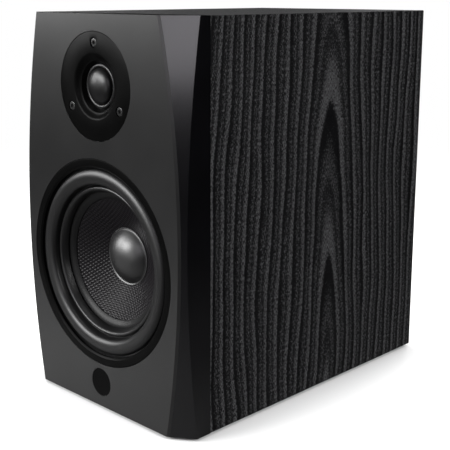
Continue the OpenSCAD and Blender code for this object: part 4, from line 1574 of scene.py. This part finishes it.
@dataclass(frozen=True)
class SoftBox:
    """One soft light."""

    name: str
    place: tuple[float, float, float]
    aim: tuple[float, float, float]
    width: float
    height: float
    power: float
    tone: Colour = (1.0, 1.0, 1.0)

    def build(self) -> None:
        """Hang the light, unseen by the camera."""
        data = bpy.data.lights.new(self.name, "AREA")
        data.shape = "RECTANGLE"
        data.size = self.width
        data.size_y = self.height
        data.energy = self.power
        data.color = self.tone
        light = bpy.data.objects.new(self.name, data)
        bpy.context.scene.collection.objects.link(light)
        light.location = self.place
        heading = Vector(self.aim) - Vector(self.place)
        light.rotation_euler = heading.to_track_quat("-Z", "Y").to_euler()
        light.visible_camera = False


@dataclass
class Studio:
    """A pale floor, soft lights and the camera."""

    standpoint: tuple[float, float, float] = (0.6013, -0.6297, 0.3489)
    azimuth: float = -45.05
    elevation: float = -11.67
    lens: float = 76.17
    sensor: float = 36.0
    shift: tuple[float, float] = (0.04, -0.08)
    floor_reach: float = 3.0
    floor_paleness: float = 0.8
    floor_glow: float = 0.6
    floor_gloss: float = 0.1
    # Reach and strength of the painted contact shadow on the floor around the speaker's base.
    painted_shadow_reach: float = 0.05
    painted_shadow_power: float = 1.6
    room_light: float = 0.012
    lights: tuple[SoftBox, ...] = (
        SoftBox("left_box", (-1.26, -0.98, 0.70), (0.0, -0.15, 0.2), 0.55, 0.66, 13.0),
        SoftBox("front_box", (-0.62, -1.52, 0.78), (0.0, -0.15, 0.13), 0.85, 0.5, 27.0),
        SoftBox("low_front_box", (0.05, -1.15, 0.14), (0.0, -0.15, 0.15), 0.36, 0.22, 0.7),
        SoftBox("right_front_box", (0.74, -1.6, 0.82), (0.0, -0.1, 0.2), 0.4, 0.8, 3.7, (0.97, 0.94, 1.0)),
        SoftBox("overhead_box", (0.0, -0.1, 1.9), (0.0, -0.05, 0.1), 1.3, 1.3, 9.0),
        SoftBox("rear_box", (-0.35, 1.75, 1.05), (0.0, 0.1, 0.15), 0.9, 0.7, 15.0),
        SoftBox("rear_left_box", (-1.8, 0.55, 1.1), (0.0, 0.0, 0.15), 0.7, 0.7, 16.0),
        SoftBox("right_side_box", (1.7, -0.1, 1.1), (0.0, 0.0, 0.2), 0.8, 0.8, 27.0),
    )

    def build(self) -> None:
        """Set the floor, the world, the lights and the camera."""
        self.build_floor()
        self.build_world()
        for light in self.lights:
            light.build()
        self.build_camera()
        bpy.context.scene.view_settings.view_transform = "Standard"

    def build_floor(self) -> None:
        """A pale round floor that fades into the white around it, with a painted contact shadow at the
        speaker's base and a painted falloff in the light it bounces and reflects.
        """
        Bench.clear()
        bpy.ops.mesh.primitive_circle_add(vertices=96, radius=self.floor_reach, fill_type="NGON")
        floor = Bench.settled("studio_floor")
        made = bpy.data.materials.new("studio_floor")
        made.use_nodes = True
        made.node_tree.nodes.clear()
        graph = Graph(made.node_tree)
        place = graph.node("ShaderNodeTexCoord").outputs["Object"]
        x, y, _ = graph.split(place)
        away = graph.hypotenuse(x, y)
        seen = graph.node("ShaderNodeLightPath").outputs["Is Camera Ray"]
        # Painted falloff: for bounced and reflected rays the floor is darker away from the speaker and
        # towards +X.
        painted_falloff = graph.times(graph.spread(away, 0.2, 0.6, 0.27, 0.04),
                           graph.spread(x, 0.02, 0.25, 1.0, 0.25))
        pale = graph.math("MAXIMUM", painted_falloff, graph.times(seen, self.floor_paleness))
        shader = graph.node("ShaderNodeBsdfPrincipled")
        cloud = graph.noise(place, 3.0, 2.0)
        graph.feed(shader.inputs["Base Color"], graph.gather(pale, pale, pale))
        graph.feed(shader.inputs["Roughness"], graph.spread(cloud, 0.3, 0.7, 0.30, 0.36))
        shader.inputs["Specular IOR Level"].default_value = self.floor_gloss
        glow = graph.node("ShaderNodeEmission")
        # Painted contact shadow: ambient occlusion darkens the floor's camera-only glow near the speaker's
        # base.
        painted_shadow_occlusion = graph.node("ShaderNodeAmbientOcclusion")
        painted_shadow_occlusion.inputs["Distance"].default_value = self.painted_shadow_reach
        painted_shadow_factor = graph.math("POWER", painted_shadow_occlusion.outputs["AO"], self.painted_shadow_power)
        graph.feed(glow.inputs["Strength"], graph.times(graph.times(seen, self.floor_glow), painted_shadow_factor))
        both = graph.node("ShaderNodeAddShader")
        graph.feed(both.inputs[0], shader.outputs[0])
        graph.feed(both.inputs[1], glow.outputs[0])
        clear = graph.node("ShaderNodeBsdfTransparent")
        fade = graph.node("ShaderNodeMixShader")
        graph.feed(fade.inputs[0], graph.spread(away, 0.5, 1.4))
        graph.feed(fade.inputs[1], both.outputs[0])
        graph.feed(fade.inputs[2], clear.outputs[0])
        end = graph.node("ShaderNodeOutputMaterial")
        graph.feed(end.inputs["Surface"], fade.outputs[0])
        floor.data.materials.append(made)

    def build_world(self) -> None:
        """White behind the speaker, and a dim studio for what it reflects."""
        world = bpy.data.worlds.new("studio")
        bpy.context.scene.world = world
        world.use_nodes = True
        world.node_tree.nodes.clear()
        graph = Graph(world.node_tree)
        seen = graph.node("ShaderNodeLightPath").outputs["Is Camera Ray"]
        back = graph.node("ShaderNodeBackground")
        strength = graph.spread(seen, 0.0, 1.0, self.room_light, 1.0, smooth=False)
        graph.feed(back.inputs["Strength"], strength)
        end = graph.node("ShaderNodeOutputWorld")
        back.inputs["Color"].default_value = (1, 1, 1, 1)
        graph.feed(end.inputs["Surface"], back.outputs[0])

    def build_camera(self) -> None:
        """Stand the camera where it looks at the right front corner."""
        data = bpy.data.cameras.new("camera")
        camera = bpy.data.objects.new("camera", data)
        bpy.context.scene.collection.objects.link(camera)
        turn, tilt = math.radians(self.azimuth), math.radians(self.elevation)
        level = math.cos(tilt)
        heading = Vector((math.sin(turn) * level, math.cos(turn) * level, math.sin(tilt)))
        camera.location = self.standpoint
        camera.rotation_euler = heading.to_track_quat("-Z", "Y").to_euler()
        data.lens = self.lens
        data.sensor_width = self.sensor
        data.shift_x, data.shift_y = self.shift
        bpy.context.scene.camera = camera


def main() -> None:
    """Build the whole speaker and its studio."""
    logging.basicConfig(level=logging.INFO, format="%(name)s: %(message)s")
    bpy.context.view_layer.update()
    for part in (Cabinet(), FrontBaffle(), Woofer(), Tweeter(), RearPort(), TerminalCup(),
                 Insides(), Studio()):
        part.build()
        log.info("%s is done", type(part).__name__)
    Bench.clear()


if __name__ == "__main__":
    main()
